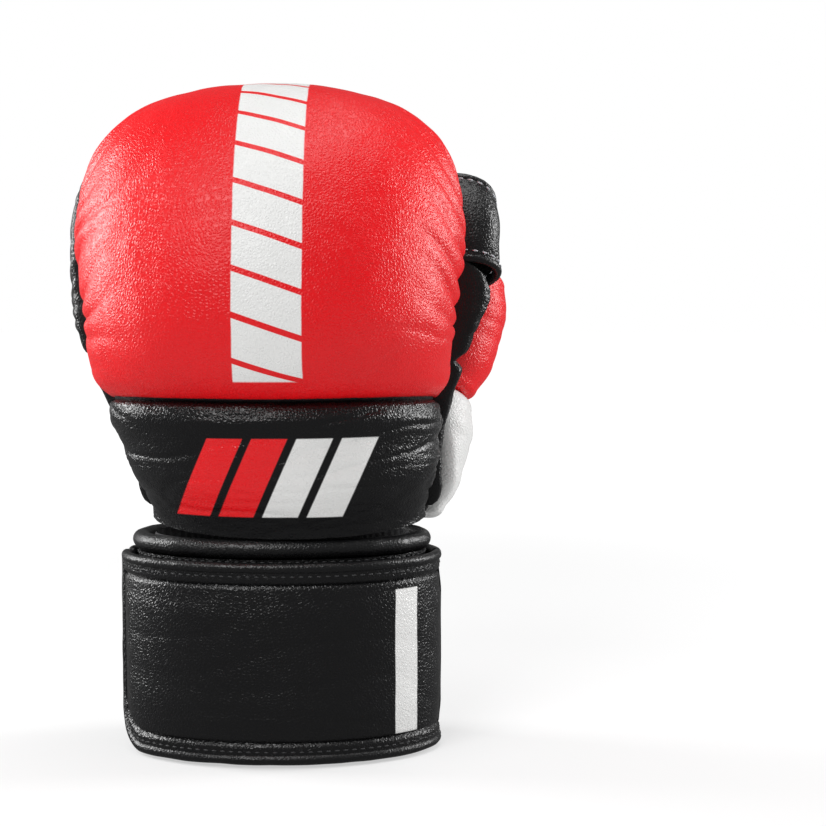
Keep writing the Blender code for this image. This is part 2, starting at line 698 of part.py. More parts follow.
def make_thumb(thumb):
    make_thumb_pad("thumb_base", 0, THUMB_SPLIT - GAP / 2, "white_leather", thumb)
    make_thumb_pad("thumb_tip", THUMB_SPLIT + GAP / 2, THUMB_LENGTH, "red_leather", thumb)

    def place(share, s, t):
        return thumb_point(thumb_column(share, s), s, t)

    rows = spaced(0, THUMB_LENGTH, 8)
    lining = slab(place, spaced(0, 1, 10), rows, lambda share, s: 0, lambda share, s: LINING)
    add_piece("thumb_lining", lining, thumb, "lining")

    radius = THUMB_BINDING_RADIUS
    edge = THUMB_PAD_DEGREES + math.degrees((radius + GAP) / (THUMB_BORE + radius))
    roll = [thumb_point(edge, s, radius) for s in spaced(0, THUMB_LENGTH, 12)]
    add_piece("thumb_binding", tube(roll, radius), thumb, "black_binding", 60)

    clear = edge + math.degrees((radius + GAP) / (THUMB_BORE + radius))
    far_edge = 360 - THUMB_PAD_DEGREES - math.degrees(GAP / THUMB_BORE) - 1
    columns = spaced(clear + 1, far_edge, 14)
    rows = spaced(THUMB_SLEEVE_FROM, THUMB_SLEEVE_TO, 5)
    sleeve = slab(thumb_point, columns, rows, lambda a, s: 0, lambda a, s: THUMB_SLEEVE_WALL)
    add_piece("thumb_sleeve", sleeve, thumb, "black_leather")


# ---------------------------------------------------------------- whole glove

def rest_on_origin(root):
    """Moves the whole glove so that the origin is at the middle of its box's bottom face."""
    bpy.context.view_layer.update()
    graph = bpy.context.evaluated_depsgraph_get()
    corners = []
    for obj in bpy.context.scene.objects:
        if obj.type != "MESH" or obj.hide_render:
            continue
        mesh = obj.evaluated_get(graph).to_mesh()
        corners += [obj.matrix_world @ vertex.co for vertex in mesh.vertices]
        obj.evaluated_get(graph).to_mesh_clear()
    low = Vector([min(c[i] for c in corners) for i in range(3)])
    high = Vector([max(c[i] for c in corners) for i in range(3)])
    root.empty.location -= Vector(((low.x + high.x) / 2, (low.y + high.y) / 2, low.z))


def knuckle_pivot():
    point, inward = spine(SEAM_AT)
    return point + inward * KNUCKLE_PIVOT_DEPTH


def thumb_pivot():
    corner = thumb_point(0, 0, LINING + LAYER_GAP + THUMB_FOAM)
    return Vector((corner.x, THUMB_BASE.y, corner.z))


def main():
    clear_scene()
    hand = Body("hand", (0, 0, 0))
    flap = Body("strap_flap_body", (CUFF_HALF_WIDTH + STRAP_OUTER + STRAP_ROLL, 0, 0)).hang_from(hand)
    knuckles = Body("knuckle_body", knuckle_pivot()).hang_from(hand)
    thumb = Body("thumb_body", thumb_pivot()).hang_from(hand)
    make_cuff(hand)
    make_strap(hand, flap)
    make_hand(hand, knuckles)
    make_palm_heel(hand)
    make_finger_loops(knuckles)
    make_thumb(thumb)
    rest_on_origin(hand)


main()
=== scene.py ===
"""The finished look of a left-hand padded sparring glove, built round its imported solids."""

import functools
import json
import math

import bmesh
import bpy
from bpy.props import FloatProperty, FloatVectorProperty, PointerProperty
from bpy.types import Operator, Panel, PropertyGroup
from mathutils import Matrix, Vector, noise
from mathutils.geometry import interpolate_bezier

import sys
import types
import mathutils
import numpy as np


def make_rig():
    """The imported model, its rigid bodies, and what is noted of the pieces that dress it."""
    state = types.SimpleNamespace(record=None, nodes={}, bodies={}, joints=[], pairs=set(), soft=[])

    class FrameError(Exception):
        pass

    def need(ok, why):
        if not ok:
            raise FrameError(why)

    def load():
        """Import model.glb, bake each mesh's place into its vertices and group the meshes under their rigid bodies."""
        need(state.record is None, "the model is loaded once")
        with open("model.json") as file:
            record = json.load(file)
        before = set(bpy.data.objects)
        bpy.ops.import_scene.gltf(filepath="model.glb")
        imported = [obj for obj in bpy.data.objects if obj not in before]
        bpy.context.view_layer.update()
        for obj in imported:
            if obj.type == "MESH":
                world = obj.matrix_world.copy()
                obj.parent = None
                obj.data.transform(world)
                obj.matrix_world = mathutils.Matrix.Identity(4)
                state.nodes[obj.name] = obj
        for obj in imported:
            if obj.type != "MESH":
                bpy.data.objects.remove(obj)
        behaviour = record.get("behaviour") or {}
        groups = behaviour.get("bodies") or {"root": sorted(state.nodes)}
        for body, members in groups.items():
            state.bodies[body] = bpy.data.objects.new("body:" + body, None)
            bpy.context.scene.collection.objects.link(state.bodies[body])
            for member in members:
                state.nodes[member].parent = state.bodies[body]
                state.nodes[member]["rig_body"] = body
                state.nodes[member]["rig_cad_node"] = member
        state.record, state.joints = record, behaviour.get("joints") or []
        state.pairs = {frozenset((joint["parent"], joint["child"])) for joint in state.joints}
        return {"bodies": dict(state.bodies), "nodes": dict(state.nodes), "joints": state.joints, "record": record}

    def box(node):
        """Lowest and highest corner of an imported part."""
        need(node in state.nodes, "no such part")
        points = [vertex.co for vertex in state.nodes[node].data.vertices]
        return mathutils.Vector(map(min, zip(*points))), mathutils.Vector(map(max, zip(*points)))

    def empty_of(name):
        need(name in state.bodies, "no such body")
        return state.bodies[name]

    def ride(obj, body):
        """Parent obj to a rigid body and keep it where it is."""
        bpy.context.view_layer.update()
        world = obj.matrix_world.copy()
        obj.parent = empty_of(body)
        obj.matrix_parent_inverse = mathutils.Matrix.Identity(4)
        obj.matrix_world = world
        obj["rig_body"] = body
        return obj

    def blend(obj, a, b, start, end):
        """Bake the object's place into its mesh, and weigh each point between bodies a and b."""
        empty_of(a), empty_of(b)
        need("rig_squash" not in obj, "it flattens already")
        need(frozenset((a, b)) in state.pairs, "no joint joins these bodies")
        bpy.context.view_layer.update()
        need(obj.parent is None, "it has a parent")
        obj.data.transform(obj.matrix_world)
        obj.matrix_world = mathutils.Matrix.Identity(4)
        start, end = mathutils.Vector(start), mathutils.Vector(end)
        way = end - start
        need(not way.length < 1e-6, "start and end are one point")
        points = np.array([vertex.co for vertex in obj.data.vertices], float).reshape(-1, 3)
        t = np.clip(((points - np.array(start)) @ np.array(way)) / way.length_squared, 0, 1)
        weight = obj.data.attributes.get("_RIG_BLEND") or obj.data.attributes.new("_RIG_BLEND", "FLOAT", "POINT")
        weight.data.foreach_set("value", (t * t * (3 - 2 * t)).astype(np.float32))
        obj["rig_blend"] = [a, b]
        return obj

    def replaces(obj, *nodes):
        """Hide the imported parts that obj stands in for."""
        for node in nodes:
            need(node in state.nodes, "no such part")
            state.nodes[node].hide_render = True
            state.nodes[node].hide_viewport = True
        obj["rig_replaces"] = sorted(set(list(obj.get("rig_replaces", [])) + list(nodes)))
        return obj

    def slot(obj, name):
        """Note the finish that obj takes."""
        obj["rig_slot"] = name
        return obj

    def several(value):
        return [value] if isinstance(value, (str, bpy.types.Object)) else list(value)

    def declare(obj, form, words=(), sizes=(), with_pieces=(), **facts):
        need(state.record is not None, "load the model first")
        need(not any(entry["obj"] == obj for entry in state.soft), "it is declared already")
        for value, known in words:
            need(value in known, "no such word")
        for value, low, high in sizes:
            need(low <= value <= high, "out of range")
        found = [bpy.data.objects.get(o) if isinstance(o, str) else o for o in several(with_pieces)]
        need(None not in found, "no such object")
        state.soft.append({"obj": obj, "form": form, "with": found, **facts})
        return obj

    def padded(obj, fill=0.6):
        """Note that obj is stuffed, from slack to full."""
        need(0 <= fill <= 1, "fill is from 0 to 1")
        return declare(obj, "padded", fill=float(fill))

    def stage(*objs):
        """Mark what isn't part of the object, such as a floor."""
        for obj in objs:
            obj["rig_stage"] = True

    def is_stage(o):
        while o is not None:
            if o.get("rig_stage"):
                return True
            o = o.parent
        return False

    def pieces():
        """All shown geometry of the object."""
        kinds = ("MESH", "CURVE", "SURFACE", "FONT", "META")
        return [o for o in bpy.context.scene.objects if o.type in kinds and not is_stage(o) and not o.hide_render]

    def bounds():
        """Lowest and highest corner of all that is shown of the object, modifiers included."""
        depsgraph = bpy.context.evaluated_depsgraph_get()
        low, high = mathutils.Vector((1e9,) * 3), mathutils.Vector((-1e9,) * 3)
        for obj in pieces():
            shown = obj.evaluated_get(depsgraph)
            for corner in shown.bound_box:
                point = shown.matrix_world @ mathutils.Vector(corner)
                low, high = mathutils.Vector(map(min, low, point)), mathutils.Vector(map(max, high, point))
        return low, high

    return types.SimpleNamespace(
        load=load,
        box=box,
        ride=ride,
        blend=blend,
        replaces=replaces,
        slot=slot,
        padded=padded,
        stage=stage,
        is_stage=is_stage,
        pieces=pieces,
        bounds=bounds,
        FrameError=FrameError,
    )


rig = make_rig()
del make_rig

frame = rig.load()
SOLIDS_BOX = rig.bounds()

bl_info = {
    "name": "Padded sparring glove",
    "version": (1, 0, 0),
    "blender": (4, 5, 0),
    "location": "View3D > Sidebar > Glove",
    "description": "Builds the leather, lining, piping and stitching of a padded sparring glove",
    "category": "Object",
}

SLEEVE_LOW, SLEEVE_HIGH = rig.box("cuff_sleeve")
CUFF_CENTRE = Vector(((SLEEVE_LOW.x + SLEEVE_HIGH.x) / 2, (SLEEVE_LOW.y + SLEEVE_HIGH.y) / 2, 0))


def length(name, description, millimetres):
    return FloatProperty(name=name, description=description, default=millimetres / 1000,
                         subtype="DISTANCE", unit="LENGTH", precision=4)


def colour(name, description, rgb):
    return FloatVectorProperty(name=name, description=description, default=rgb, size=3,
                               subtype="COLOR", min=0, max=1)


class GloveHandSizes(PropertyGroup):
    """Sizes of the padded hand."""

    wrist_setback: length("Wrist setback", "From the cuff's middle to the lining at the wrist", 29)
    bottom: length("Bottom", "Height at which the hand leaves the cuff", 89.34)
    back_length: length("Back length", "Straight run of the lining before it curls", 70.4)
    curl_radius: length("Curl radius", "Radius of the lining's curl over the knuckles", 80)
    seam_at: length("Seam", "Where the band meets the knuckle pad, along the lining", 59.5)
    knuckle_pad: length("Knuckle padding", "Thickness over the knuckles", 31)
    band_pad: length("Band padding", "Thickness of the band on the back of the hand", 17)
    pucker: length("Pucker depth", "Depth of the gathers along the pad's sides", 1.5)
    piping: length("Piping radius", "Radius of the rolled leather edges", 3.3)


class GloveCuffSizes(PropertyGroup):
    """Sizes of the cuff and of the strap round it."""

    half_width: length("Half width", "Half the sleeve's width", 57.4)
    half_depth: length("Half depth", "Half the sleeve's depth", 36.4)
    height: length("Height", "Height of the sleeve", 87.5)
    strap_bottom: length("Strap bottom", "Height of the strap's lower edge", 1.2)
    strap_top: length("Strap top", "Height of the strap's upper edge", 79.5)
    strap_inner: length("Strap stand-off", "From the sleeve to the strap's inner face", 3.4)
    strap_thickness: length("Strap thickness", "Thickness of the leather strap", 3)
    corner_radius: length("Corner radius", "Radius of the flap's rounded lower corner", 25)


class GloveColours(PropertyGroup):
    """Colours of the leathers, the lining and the thread."""

    red: colour("Red leather", "Knuckle pad and thumb tip", (0.77, 0.003, 0.007))
    white: colour("White leather", "Thumb base and the printed shapes", (0.74, 0.74, 0.73))
    black: colour("Black leather", "Band, strap, loops and sleeve", (0.0045, 0.0045, 0.005))
    piping: colour("Piping", "Rolled leather edges", (0.005, 0.005, 0.0055))
    lining: colour("Lining", "Textile inside the hand", (0.022, 0.022, 0.024))
    thread: colour("Thread", "Stitching", (0.03, 0.03, 0.032))
    pale_thread: colour("Pale thread", "Stitching on the finger loops", (0.42, 0.43, 0.46))


def hand_sizes():
    return bpy.context.scene.glove_hand


def cuff_sizes():
    return bpy.context.scene.glove_cuff


def colours():
    return bpy.context.scene.glove_colours


# ---- shader maths

class Wire:
    """A shader socket that takes part in Python expressions: each operator adds its Math node."""

    def __init__(self, tree, socket):
        self.tree = tree
        self.socket = socket

    def maths(self, operation, *values):
        node = self.tree.nodes.new("ShaderNodeMath")
        node.operation = operation
        for socket, value in zip(node.inputs, values):
            put(self.tree, socket, value)
        return Wire(self.tree, node.outputs[0])

    def __add__(self, other):
        return self.maths("ADD", self, other)

    def __sub__(self, other):
        return self.maths("SUBTRACT", self, other)

    def __mul__(self, other):
        return self.maths("MULTIPLY", self, other)

    def __truediv__(self, other):
        return self.maths("DIVIDE", self, other)

    def __rsub__(self, other):
        return self.maths("SUBTRACT", other, self)

    __radd__ = __add__
    __rmul__ = __mul__

    def __abs__(self):
        return self.maths("ABSOLUTE", self)

    def sine(self):
        return self.maths("SINE", self)

    def least(self, other):
        return self.maths("MINIMUM", self, other)

    def below(self, edge, softness):
        """1 where the value is under edge, falling to 0 over this softness."""
        node = add_node(self.tree, "ShaderNodeMapRange", {"interpolation_type": "SMOOTHSTEP"},
                        Value=self, From_Min=edge - softness, From_Max=edge + softness,
                        To_Min=1.0, To_Max=0.0)
        return Wire(self.tree, node.outputs[0])

    def above(self, edge, softness):
        return 1 - self.below(edge, softness)


def put(tree, socket, value):
    if isinstance(value, Wire):
        tree.links.new(value.socket, socket)
    else:
        socket.default_value = value


def add_node(tree, kind, settings=None, **values):
    node = tree.nodes.new(kind)
    for name, value in (settings or {}).items():
        setattr(node, name, value)
    for name, value in values.items():
        put(tree, node.inputs[name.replace("_", " ")], value)
    return node


class Finish:
    """A new material with its shader, its Object coordinates and the patterns leather needs."""

    def __init__(self, name):
        self.material = bpy.data.materials.new(name)
        self.material.use_nodes = True
        self.tree = self.material.node_tree
        self.shader = self.tree.nodes["Principled BSDF"]
        self.place = Wire(self.tree, self.tree.nodes.new("ShaderNodeTexCoord").outputs["Object"])

    def axes(self):
        node = add_node(self.tree, "ShaderNodeSeparateXYZ", Vector=self.place)
        return [Wire(self.tree, socket) for socket in node.outputs]

    def mapped(self, scale):
        node = add_node(self.tree, "ShaderNodeMapping", Vector=self.place, Scale=scale)
        return Wire(self.tree, node.outputs[0])

    def noise(self, scale, detail, place=None, distortion=0.0):
        node = add_node(self.tree, "ShaderNodeTexNoise", Vector=place or self.place, Scale=scale,
                        Detail=detail, Distortion=distortion)
        return Wire(self.tree, node.outputs["Fac"])

    def cells(self, scale, feature="F1"):
        node = add_node(self.tree, "ShaderNodeTexVoronoi", {"feature": feature},
                        Vector=self.place, Scale=scale)
        return Wire(self.tree, node.outputs["Distance"])

    def mix(self, factor, first, second):
        node = add_node(self.tree, "ShaderNodeMix", {"data_type": "RGBA"})
        put(self.tree, node.inputs["Factor"], factor)
        put(self.tree, node.inputs[6], first)
        put(self.tree, node.inputs[7], second)
        return Wire(self.tree, node.outputs[2])

    def bump(self, height, distance, strength=1.0, under=None):
        node = add_node(self.tree, "ShaderNodeBump", Height=height, Distance=distance,
                        Strength=strength)
        if under:
            put(self.tree, node.inputs["Normal"], under)
        return Wire(self.tree, node.outputs[0])

    def set(self, **values):
        for name, value in values.items():
            put(self.tree, self.shader.inputs[name.replace("_", " ")], value)
        return self.material


def rgba(rgb, gain=1.0):
    return tuple(min(c * gain, 1.0) for c in rgb) + (1.0,)


def grey(value):
    return rgba((value, value, value))


PEBBLES_PER_METRE = 760
PEBBLE_DEPTH, CREASE_DEPTH = 0.00028, 0.0004


def leather(name, rgb, roughness, grain=PEBBLE_DEPTH, creases=CREASE_DEPTH, prints=None,
            crease_along=(1, 1, 3), shine=0.5):
    """Pebbled, creased leather; prints(finish) may give (mask, colour) pairs painted over it."""
    existing = bpy.data.materials.get(name)
    if existing:
        return existing
    finish = Finish(name)
    pebbles = finish.cells(PEBBLES_PER_METRE, "DISTANCE_TO_EDGE").below(0.20, 0.2)
    broad = finish.noise(16, 3)
    fine = finish.noise(420, 4, finish.mapped(crease_along), 0.3)
    folds = finish.noise(85, 3, finish.mapped(crease_along), 0.25)
    fold_lines = (abs(folds - 0.5) * 14).least(1.0)
    worn = finish.noise(24, 2).above(0.52, 0.10)
    height = (1 - (1 - fold_lines) * worn) * 0.6 + fine * 0.4
    normal = finish.bump(height, creases, 0.22)
    normal = finish.bump(1 - pebbles, grain, 0.5, normal)
    paint = finish.mix(broad * 0.5, rgba(rgb), rgba(rgb, 0.75))
    rough = roughness + (broad - 0.5) * 0.12 + (1 - fold_lines) * worn * 0.06
    if prints:
        for mask, print_rgb in prints(finish):
            paint = finish.mix(mask, paint, rgba(print_rgb))
    return finish.set(Base_Color=paint, Roughness=rough, Normal=normal, Specular_IOR_Level=shine)


def piping_leather():
    return leather("piping_leather", colours().piping, 0.36, 0.0002, 0.0005,
                   crease_along=(1, 1, 1.6))


def black_leather():
    return leather("pebbled_black_leather", colours().black, 0.34, crease_along=(1, 1, 3.2))


def red_leather():
    return leather("pebbled_red_leather", colours().red, 0.35, prints=white_stripe,
                   crease_along=(1, 1, 1.2), shine=0.4)


def thread_material(name):
    """Twisted thread in the colour that goes by this name."""
    existing = bpy.data.materials.get(name)
    if existing:
        return existing
    finish = Finish(name)
    rgb = getattr(colours(), name)
    twist = finish.noise(2600, 1)
    return finish.set(Base_Color=finish.mix(twist, rgba(rgb, 0.7), rgba(rgb, 1.25)),
                      Roughness=0.6, Normal=finish.bump(twist, 0.0001, 0.6))


def ribbed_lining():
    """A knitted lining with fine ribs that run up the hand."""
    existing = bpy.data.materials.get("ribbed_lining")
    if existing:
        return existing
    finish = Finish("ribbed_lining")
    across = finish.axes()[0] * 2400 + finish.noise(30, 2) * 5
    ribs = (across.sine() + 1) * 0.5
    height = ribs * 0.7 + finish.cells(900) * 0.3
    # The colour is darker in the hollows between the ribs, a painted shade, and it also varies at random with the
    # noise.
    tone = (ribs * 0.6 + finish.noise(60, 3) * 0.5).least(1.0)
    rgb = colours().lining
    return finish.set(Base_Color=finish.mix(tone, rgba(rgb, 0.45), rgba(rgb, 1.7)), Roughness=0.88,
                      Normal=finish.bump(height, 0.0006, 0.8), Sheen_Weight=0.25,
                      Sheen_Roughness=0.5)


def fastener_tape():
    existing = bpy.data.materials.get("brushed_fastener_tape")
    if existing:
        return existing
    finish = Finish("brushed_fastener_tape")
    pile = finish.cells(1500)
    return finish.set(Base_Color=finish.mix(pile, grey(0.006), grey(0.03)), Roughness=0.95,
                      Normal=finish.bump(pile, 0.0006, 1.0), Specular_IOR_Level=0.15)


# ---- the hand's surface

HAND_LEAN = math.radians(9.2)
CURL_DEGREES = 87
SEAM_PAD, RIM_PAD, WRIST_PAD = 0.0145, 0.010, 0.008


def smooth(x):
    x = min(max(x, 0.0), 1.0)
    return x * x * (3 - 2 * x)


def lumps(x, y, z):
    """Smooth noise, from about -1 to 1."""
    return noise.noise(Vector((x, y, z)))


def crown(x, power=0.75):
    """A rounded shoulder: 0 at 0, where it rises steeply, to 1 at 1, where it is level."""
    x = min(max(x, 0.0), 1.0)
    return (1 - (1 - x) ** 2) ** power


def spine_length():
    sizes = hand_sizes()
    return sizes.back_length + sizes.curl_radius * math.radians(CURL_DEGREES)


def spine(s):
    """The lining's middle line at s from the wrist: its point and the direction to the palm."""
    sizes = hand_sizes()
    start = Vector((CUFF_CENTRE.x, CUFF_CENTRE.y - sizes.wrist_setback, sizes.bottom))
    along = Vector((0, -math.sin(HAND_LEAN), math.cos(HAND_LEAN)))
    across = Vector((0, math.cos(HAND_LEAN), math.sin(HAND_LEAN)))
    if s <= sizes.back_length:
        return start + along * s, across
    angle = (s - sizes.back_length) / sizes.curl_radius - HAND_LEAN
    inward = Vector((0, math.cos(angle), -math.sin(angle)))
    centre = start + along * sizes.back_length + across * sizes.curl_radius
    return centre - inward * sizes.curl_radius, inward


def half_width(s):
    seam = hand_sizes().seam_at
    width = 0.050 + 0.0055 * smooth(s / seam) + 0.002 * smooth((s - seam) / 0.05)
    return width - 0.0025 * smooth((s - 0.15) / (spine_length() - 0.15))


def wrap_depth(s):
    fall = smooth((s - 0.095) / (spine_length() - 0.095))
    return 0.032 + 0.008 * smooth(s / hand_sizes().seam_at) - 0.025 * fall


def side_shift(s):
    return 0.0033 - 0.0063 * smooth(s / hand_sizes().seam_at)


def lining_point(u, s):
    point, inward = spine(s)
    angle = u * math.pi / 2
    across = side_shift(s) + half_width(s) * math.sin(angle)
    return point + Vector((across, 0, 0)) + inward * (wrap_depth(s) * (1 - math.cos(angle)))


def hand_point(u, s, t):
    """A point t outside the lining: u runs from the little finger at -1 to the thumb at +1."""
    around = lining_point(u + 0.01, s) - lining_point(u - 0.01, s)
    along = Vector((1, 0, 0)).cross(spine(s)[1])
    return lining_point(u, s) + around.cross(along).normalized() * t


def side_point(side, s, w, t):
    """A point beyond the pad's side edge: w towards the palm and t outwards."""
    return lining_point(side, s) + spine(s)[1] * w + Vector((side * t, 0, 0))


def side_factor(u):
    return 1 - 0.45 * abs(u) ** 3


def knuckle_thickness(u, s):
    sizes = hand_sizes()
    swell = (sizes.knuckle_pad - SEAM_PAD) * crown((s - sizes.seam_at) / 0.026)
    taper = (sizes.knuckle_pad - RIM_PAD) * (1 - crown((spine_length() - s) / 0.060))
    return (SEAM_PAD + swell - taper) * side_factor(u)


def band_thickness(u, s):
    sizes = hand_sizes()
    puff = WRIST_PAD + (sizes.band_pad - WRIST_PAD) * smooth(s / 0.026)
    pinch = 0.0025 * smooth((s - sizes.seam_at + 0.012) / 0.012)
    return (puff - pinch) * side_factor(u)


# ---- making meshes

WELD = 1e-6


def shaped_grid(columns, rows, place):
    """A grid whose every point is moved by place(a, b), where a and b run from 0 to 1 across it."""
    bm = bmesh.new()
    bmesh.ops.create_grid(bm, x_segments=columns, y_segments=rows, size=0.5)
    for vertex in bm.verts:
        vertex.co = place(vertex.co.x + 0.5, vertex.co.y + 0.5)
    return bm


def finish_piece(name, bm, material, body, slot, replaces=(), sharp=50):
    """Makes the object, turns its faces outwards, and says what it rides on and stands for."""
    if bm.calc_volume(signed=True) < 0:
        bmesh.ops.reverse_faces(bm, faces=bm.faces)
    mesh = bpy.data.meshes.new(name)
    bm.to_mesh(mesh)
    bm.free()
    mesh.shade_smooth()
    if sharp:
        mesh.set_sharp_from_angle(angle=math.radians(sharp))
    piece = bpy.data.objects.new(name, mesh)
    bpy.context.scene.collection.objects.link(piece)
    mesh.materials.append(material)
    if body:
        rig.ride(piece, body)
    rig.slot(piece, slot)
    if replaces:
        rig.replaces(piece, *replaces)
    return piece


def finish_black(name, bm, body, replaces=(), sharp=50):
    return finish_piece(name, bm, black_leather(), body, "black_leather", replaces, sharp)


def finish_roll(name, path, radius, body, replaces=(), swell=0.12):
    return finish_piece(name, roll(path, radius, swell), piping_leather(), body, "black_binding",
                        replaces, sharp=None)


def finish_stitches(name, bm, body, slot="black_binding", thread="thread"):
    return finish_piece(name, bm, thread_material(thread), body, slot, sharp=None)


def roll(points, radius, swell):
    """A round roll of leather along these points, a little uneven, as a bmesh with closed ends."""
    curve = bpy.data.curves.new("roll", "CURVE")
    curve.dimensions = "3D"
    curve.bevel_depth = radius
    curve.bevel_resolution = 5
    curve.use_fill_caps = True
    spline = curve.splines.new("POLY")
    spline.points.add(len(points) - 1)
    for i, (target, point) in enumerate(zip(spline.points, points)):
        target.co = (*point, 1)
        from_end = min(i, len(points) - 1 - i)
        rounded = 1 if from_end > 1 else (0.6, 0.9)[from_end]
        target.radius = rounded * (1 + swell * noise.noise(point * 120))
    holder = bpy.data.objects.new("roll", curve)
    bm = bmesh.new()
    bm.from_mesh(holder.to_mesh())
    bmesh.ops.remove_doubles(bm, verts=bm.verts, dist=WELD)
    bpy.data.objects.remove(holder)
    bpy.data.curves.remove(curve)
    return bm


def resampled(points, spacing, closed=False):
    """The same path at even steps of about this spacing."""
    corners = list(points) + ([points[0]] if closed else [])
    runs = [(b - a).length for a, b in zip(corners, corners[1:])]
    count = max(int(sum(runs) / spacing), 2)
    made, at, walked = [], 0, 0.0
    for i in range(count + (0 if closed else 1)):
        target = min(sum(runs) * i / count, sum(runs) * 0.999999)
        while walked + runs[at] < target:
            walked += runs[at]
            at += 1
        made.append(corners[at].lerp(corners[at + 1], (target - walked) / runs[at]))
    return made


def add_stitches(bm, path, outward, spacing=0.0034, size=0.0011, thick=0.00038):
    """Short raised stitches along a path; outward(point) is the way they stand proud."""
    places = resampled(path, spacing)
    for point, ahead in zip(places, places[1:]):
        along = (ahead - point).normalized()
        up = outward(point)
        up = (up - along * up.dot(along)).normalized()
        turn = Matrix((along, up.cross(along), up)).transposed().to_4x4()
        middle = Matrix.Translation(point.lerp(ahead, 0.5))
        bmesh.ops.create_uvsphere(bm, u_segments=6, v_segments=5, radius=1,
                                  matrix=middle @ turn @ Matrix.Diagonal((size, thick, thick, 1)))


def closed_pad(columns, rows, outer, inner):
    """A closed shell between two grids of points, each given by place(a, b)."""
    bm = shaped_grid(columns, rows, outer)
    first = [edge for edge in bm.edges if edge.is_boundary]
    made = bmesh.ops.create_grid(bm, x_segments=columns, y_segments=rows, size=0.5)
    for vertex in made["verts"]:
        vertex.co = inner(vertex.co.x + 0.5, vertex.co.y + 0.5)
    known = set(first)
    second = [edge for edge in bm.edges if edge.is_boundary and edge not in known]
    bmesh.ops.bridge_loops(bm, edges=first + second)
    bmesh.ops.recalc_face_normals(bm, faces=bm.faces)
    return bm


SEAM_LOW, SEAM_HIGH = Vector((0, 0, 0.140)), Vector((0, 0, 0.164))


def bend_at_seam(piece):
    """The piece follows the cuff below the knuckle seam and the knuckles above it."""
    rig.blend(piece, "hand", "knuckles", start=SEAM_LOW, end=SEAM_HIGH)


# ---- knuckle pad and band

LINING_WALL, PAD_STANDS_OFF = 0.0013, 0.0019
SEAM_HALF_GAP = 0.0004


def across_pad(a):
    """u at a share of the way across a pad, with its columns closer together near the sides."""
    return 0.998 * math.sin((a - 0.5) * math.pi)


def seam_line(u):
    """Where the pad's lower seam lies along the lining: it dips towards the sides."""
    return hand_sizes().seam_at - 0.0030 - 0.0120 * abs(u) ** 2.2


def gather(s, u, pitch, seed):
    """Depth from 0 to 1 of the gathers at a pad's side: creases that fan out from the edge."""
    reach = 0.62 + 0.34 * lumps(s * 70, seed, 0)
    inside = (1 - abs(u)) / reach
    fan = (0.10 + 0.40 * smooth((s - 0.08) / 0.08)) * 0.08 * (1 - abs(u))
    phase = (s - fan) / pitch + 0.9 * lumps(s * 40, seed * 3, abs(u) * 3)
    wave = abs(math.sin(math.pi * phase)) ** 0.8
    strength = 0.55 + 0.45 * lumps(math.floor(phase) * 0.71, seed, 2)
    return (1 - wave) * strength * (1 - smooth(inside)) * smooth(inside * 6 + 0.35)


def side_roll_off(u):
    """How much of the padding is left near a pad's side, where the leather rolls under."""
    return 0.30 + 0.70 * crown((1 - abs(u)) / 0.11, 0.5)


def knuckle_along(u, b):
    low = seam_line(u) + SEAM_HALF_GAP
    return low + (spine_length() - low) * b


def knuckle_surface(a, b):
    sizes = hand_sizes()
    u = across_pad(a)
    s = knuckle_along(u, b)
    side = 1 if u > 0 else -1
    lift = seam_line(u) - sizes.seam_at
    t = knuckle_thickness(u, s - lift * (1 - smooth((s - 0.06) / 0.03))) * side_roll_off(u)
    thinned = abs(u) ** 3 * (1 - smooth((s - 0.085) / 0.05)) * smooth((s - 0.048) / 0.02)
    t *= 1 - 0.27 * thinned
    middle = smooth((s - 0.070) / 0.02) * (1 - smooth((s - 0.165) / 0.02))
    t -= sizes.pucker * gather(s, u, 0.0105, 5 + side) * (0.2 + 0.8 * middle) * 3.4
    t += 0.0007 * lumps(u * 4, s * 40, 1)
    t += 0.0003 * lumps(u * 11, s * 120, 4)
    return hand_point(u, s, t)


def knuckle_back(a, b):
    u = across_pad(a)
    return hand_point(u, knuckle_along(u, b), PAD_STANDS_OFF)


STRIPE_CENTRE = Vector((CUFF_CENTRE.x - 0.0005, CUFF_CENTRE.y + 0.0387, 0.1716))
STRIPE_RADIUS, STRIPE_PITCH, STRIPE_HALF_WIDTH, STRIPE_FOOT = 0.111, 0.0172, 0.0128, 0.1500


def white_stripe(finish):
    """A plain column of white blocks that runs up the middle of the pad."""
    x, y, z = finish.axes()
    wobble = (finish.noise(70, 2) - 0.5) * 0.0007
    across = x - STRIPE_CENTRE.x
    up, out = z - STRIPE_CENTRE.z, STRIPE_CENTRE.y - y
    angle = up.maths("ARCTAN2", up, out)
    step = (angle * STRIPE_RADIUS + across * 0.35 + 0.5) / STRIPE_PITCH
    part = step.maths("FRACT", step)
    blocks = part.above(0.07, 0.010) * part.below(0.93, 0.010)
    ends = z.above(STRIPE_FOOT, 0.0004) * y.below(CUFF_CENTRE.y + 0.008, 0.0006)
    mask = (abs(across) + wobble).below(STRIPE_HALF_WIDTH, 0.0003) * ends
    return [(mask * blocks, colours().white)]


class GLOVE_OT_knuckle_pad(Operator):
    """Build the red padded cover over the knuckles"""

    bl_idname = "glove.knuckle_pad"
    bl_label = "Knuckle pad"

    def execute(self, context):
        bm = closed_pad(170, 150, knuckle_surface, knuckle_back)
        pad = finish_piece("knuckle_cover", bm, red_leather(), None, "red_leather",
                           ("knuckle_skin", "knuckle_foam_inner", "knuckle_foam_outer"))
        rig.padded(pad, 0.9)
        bend_at_seam(pad)
        return {"FINISHED"}


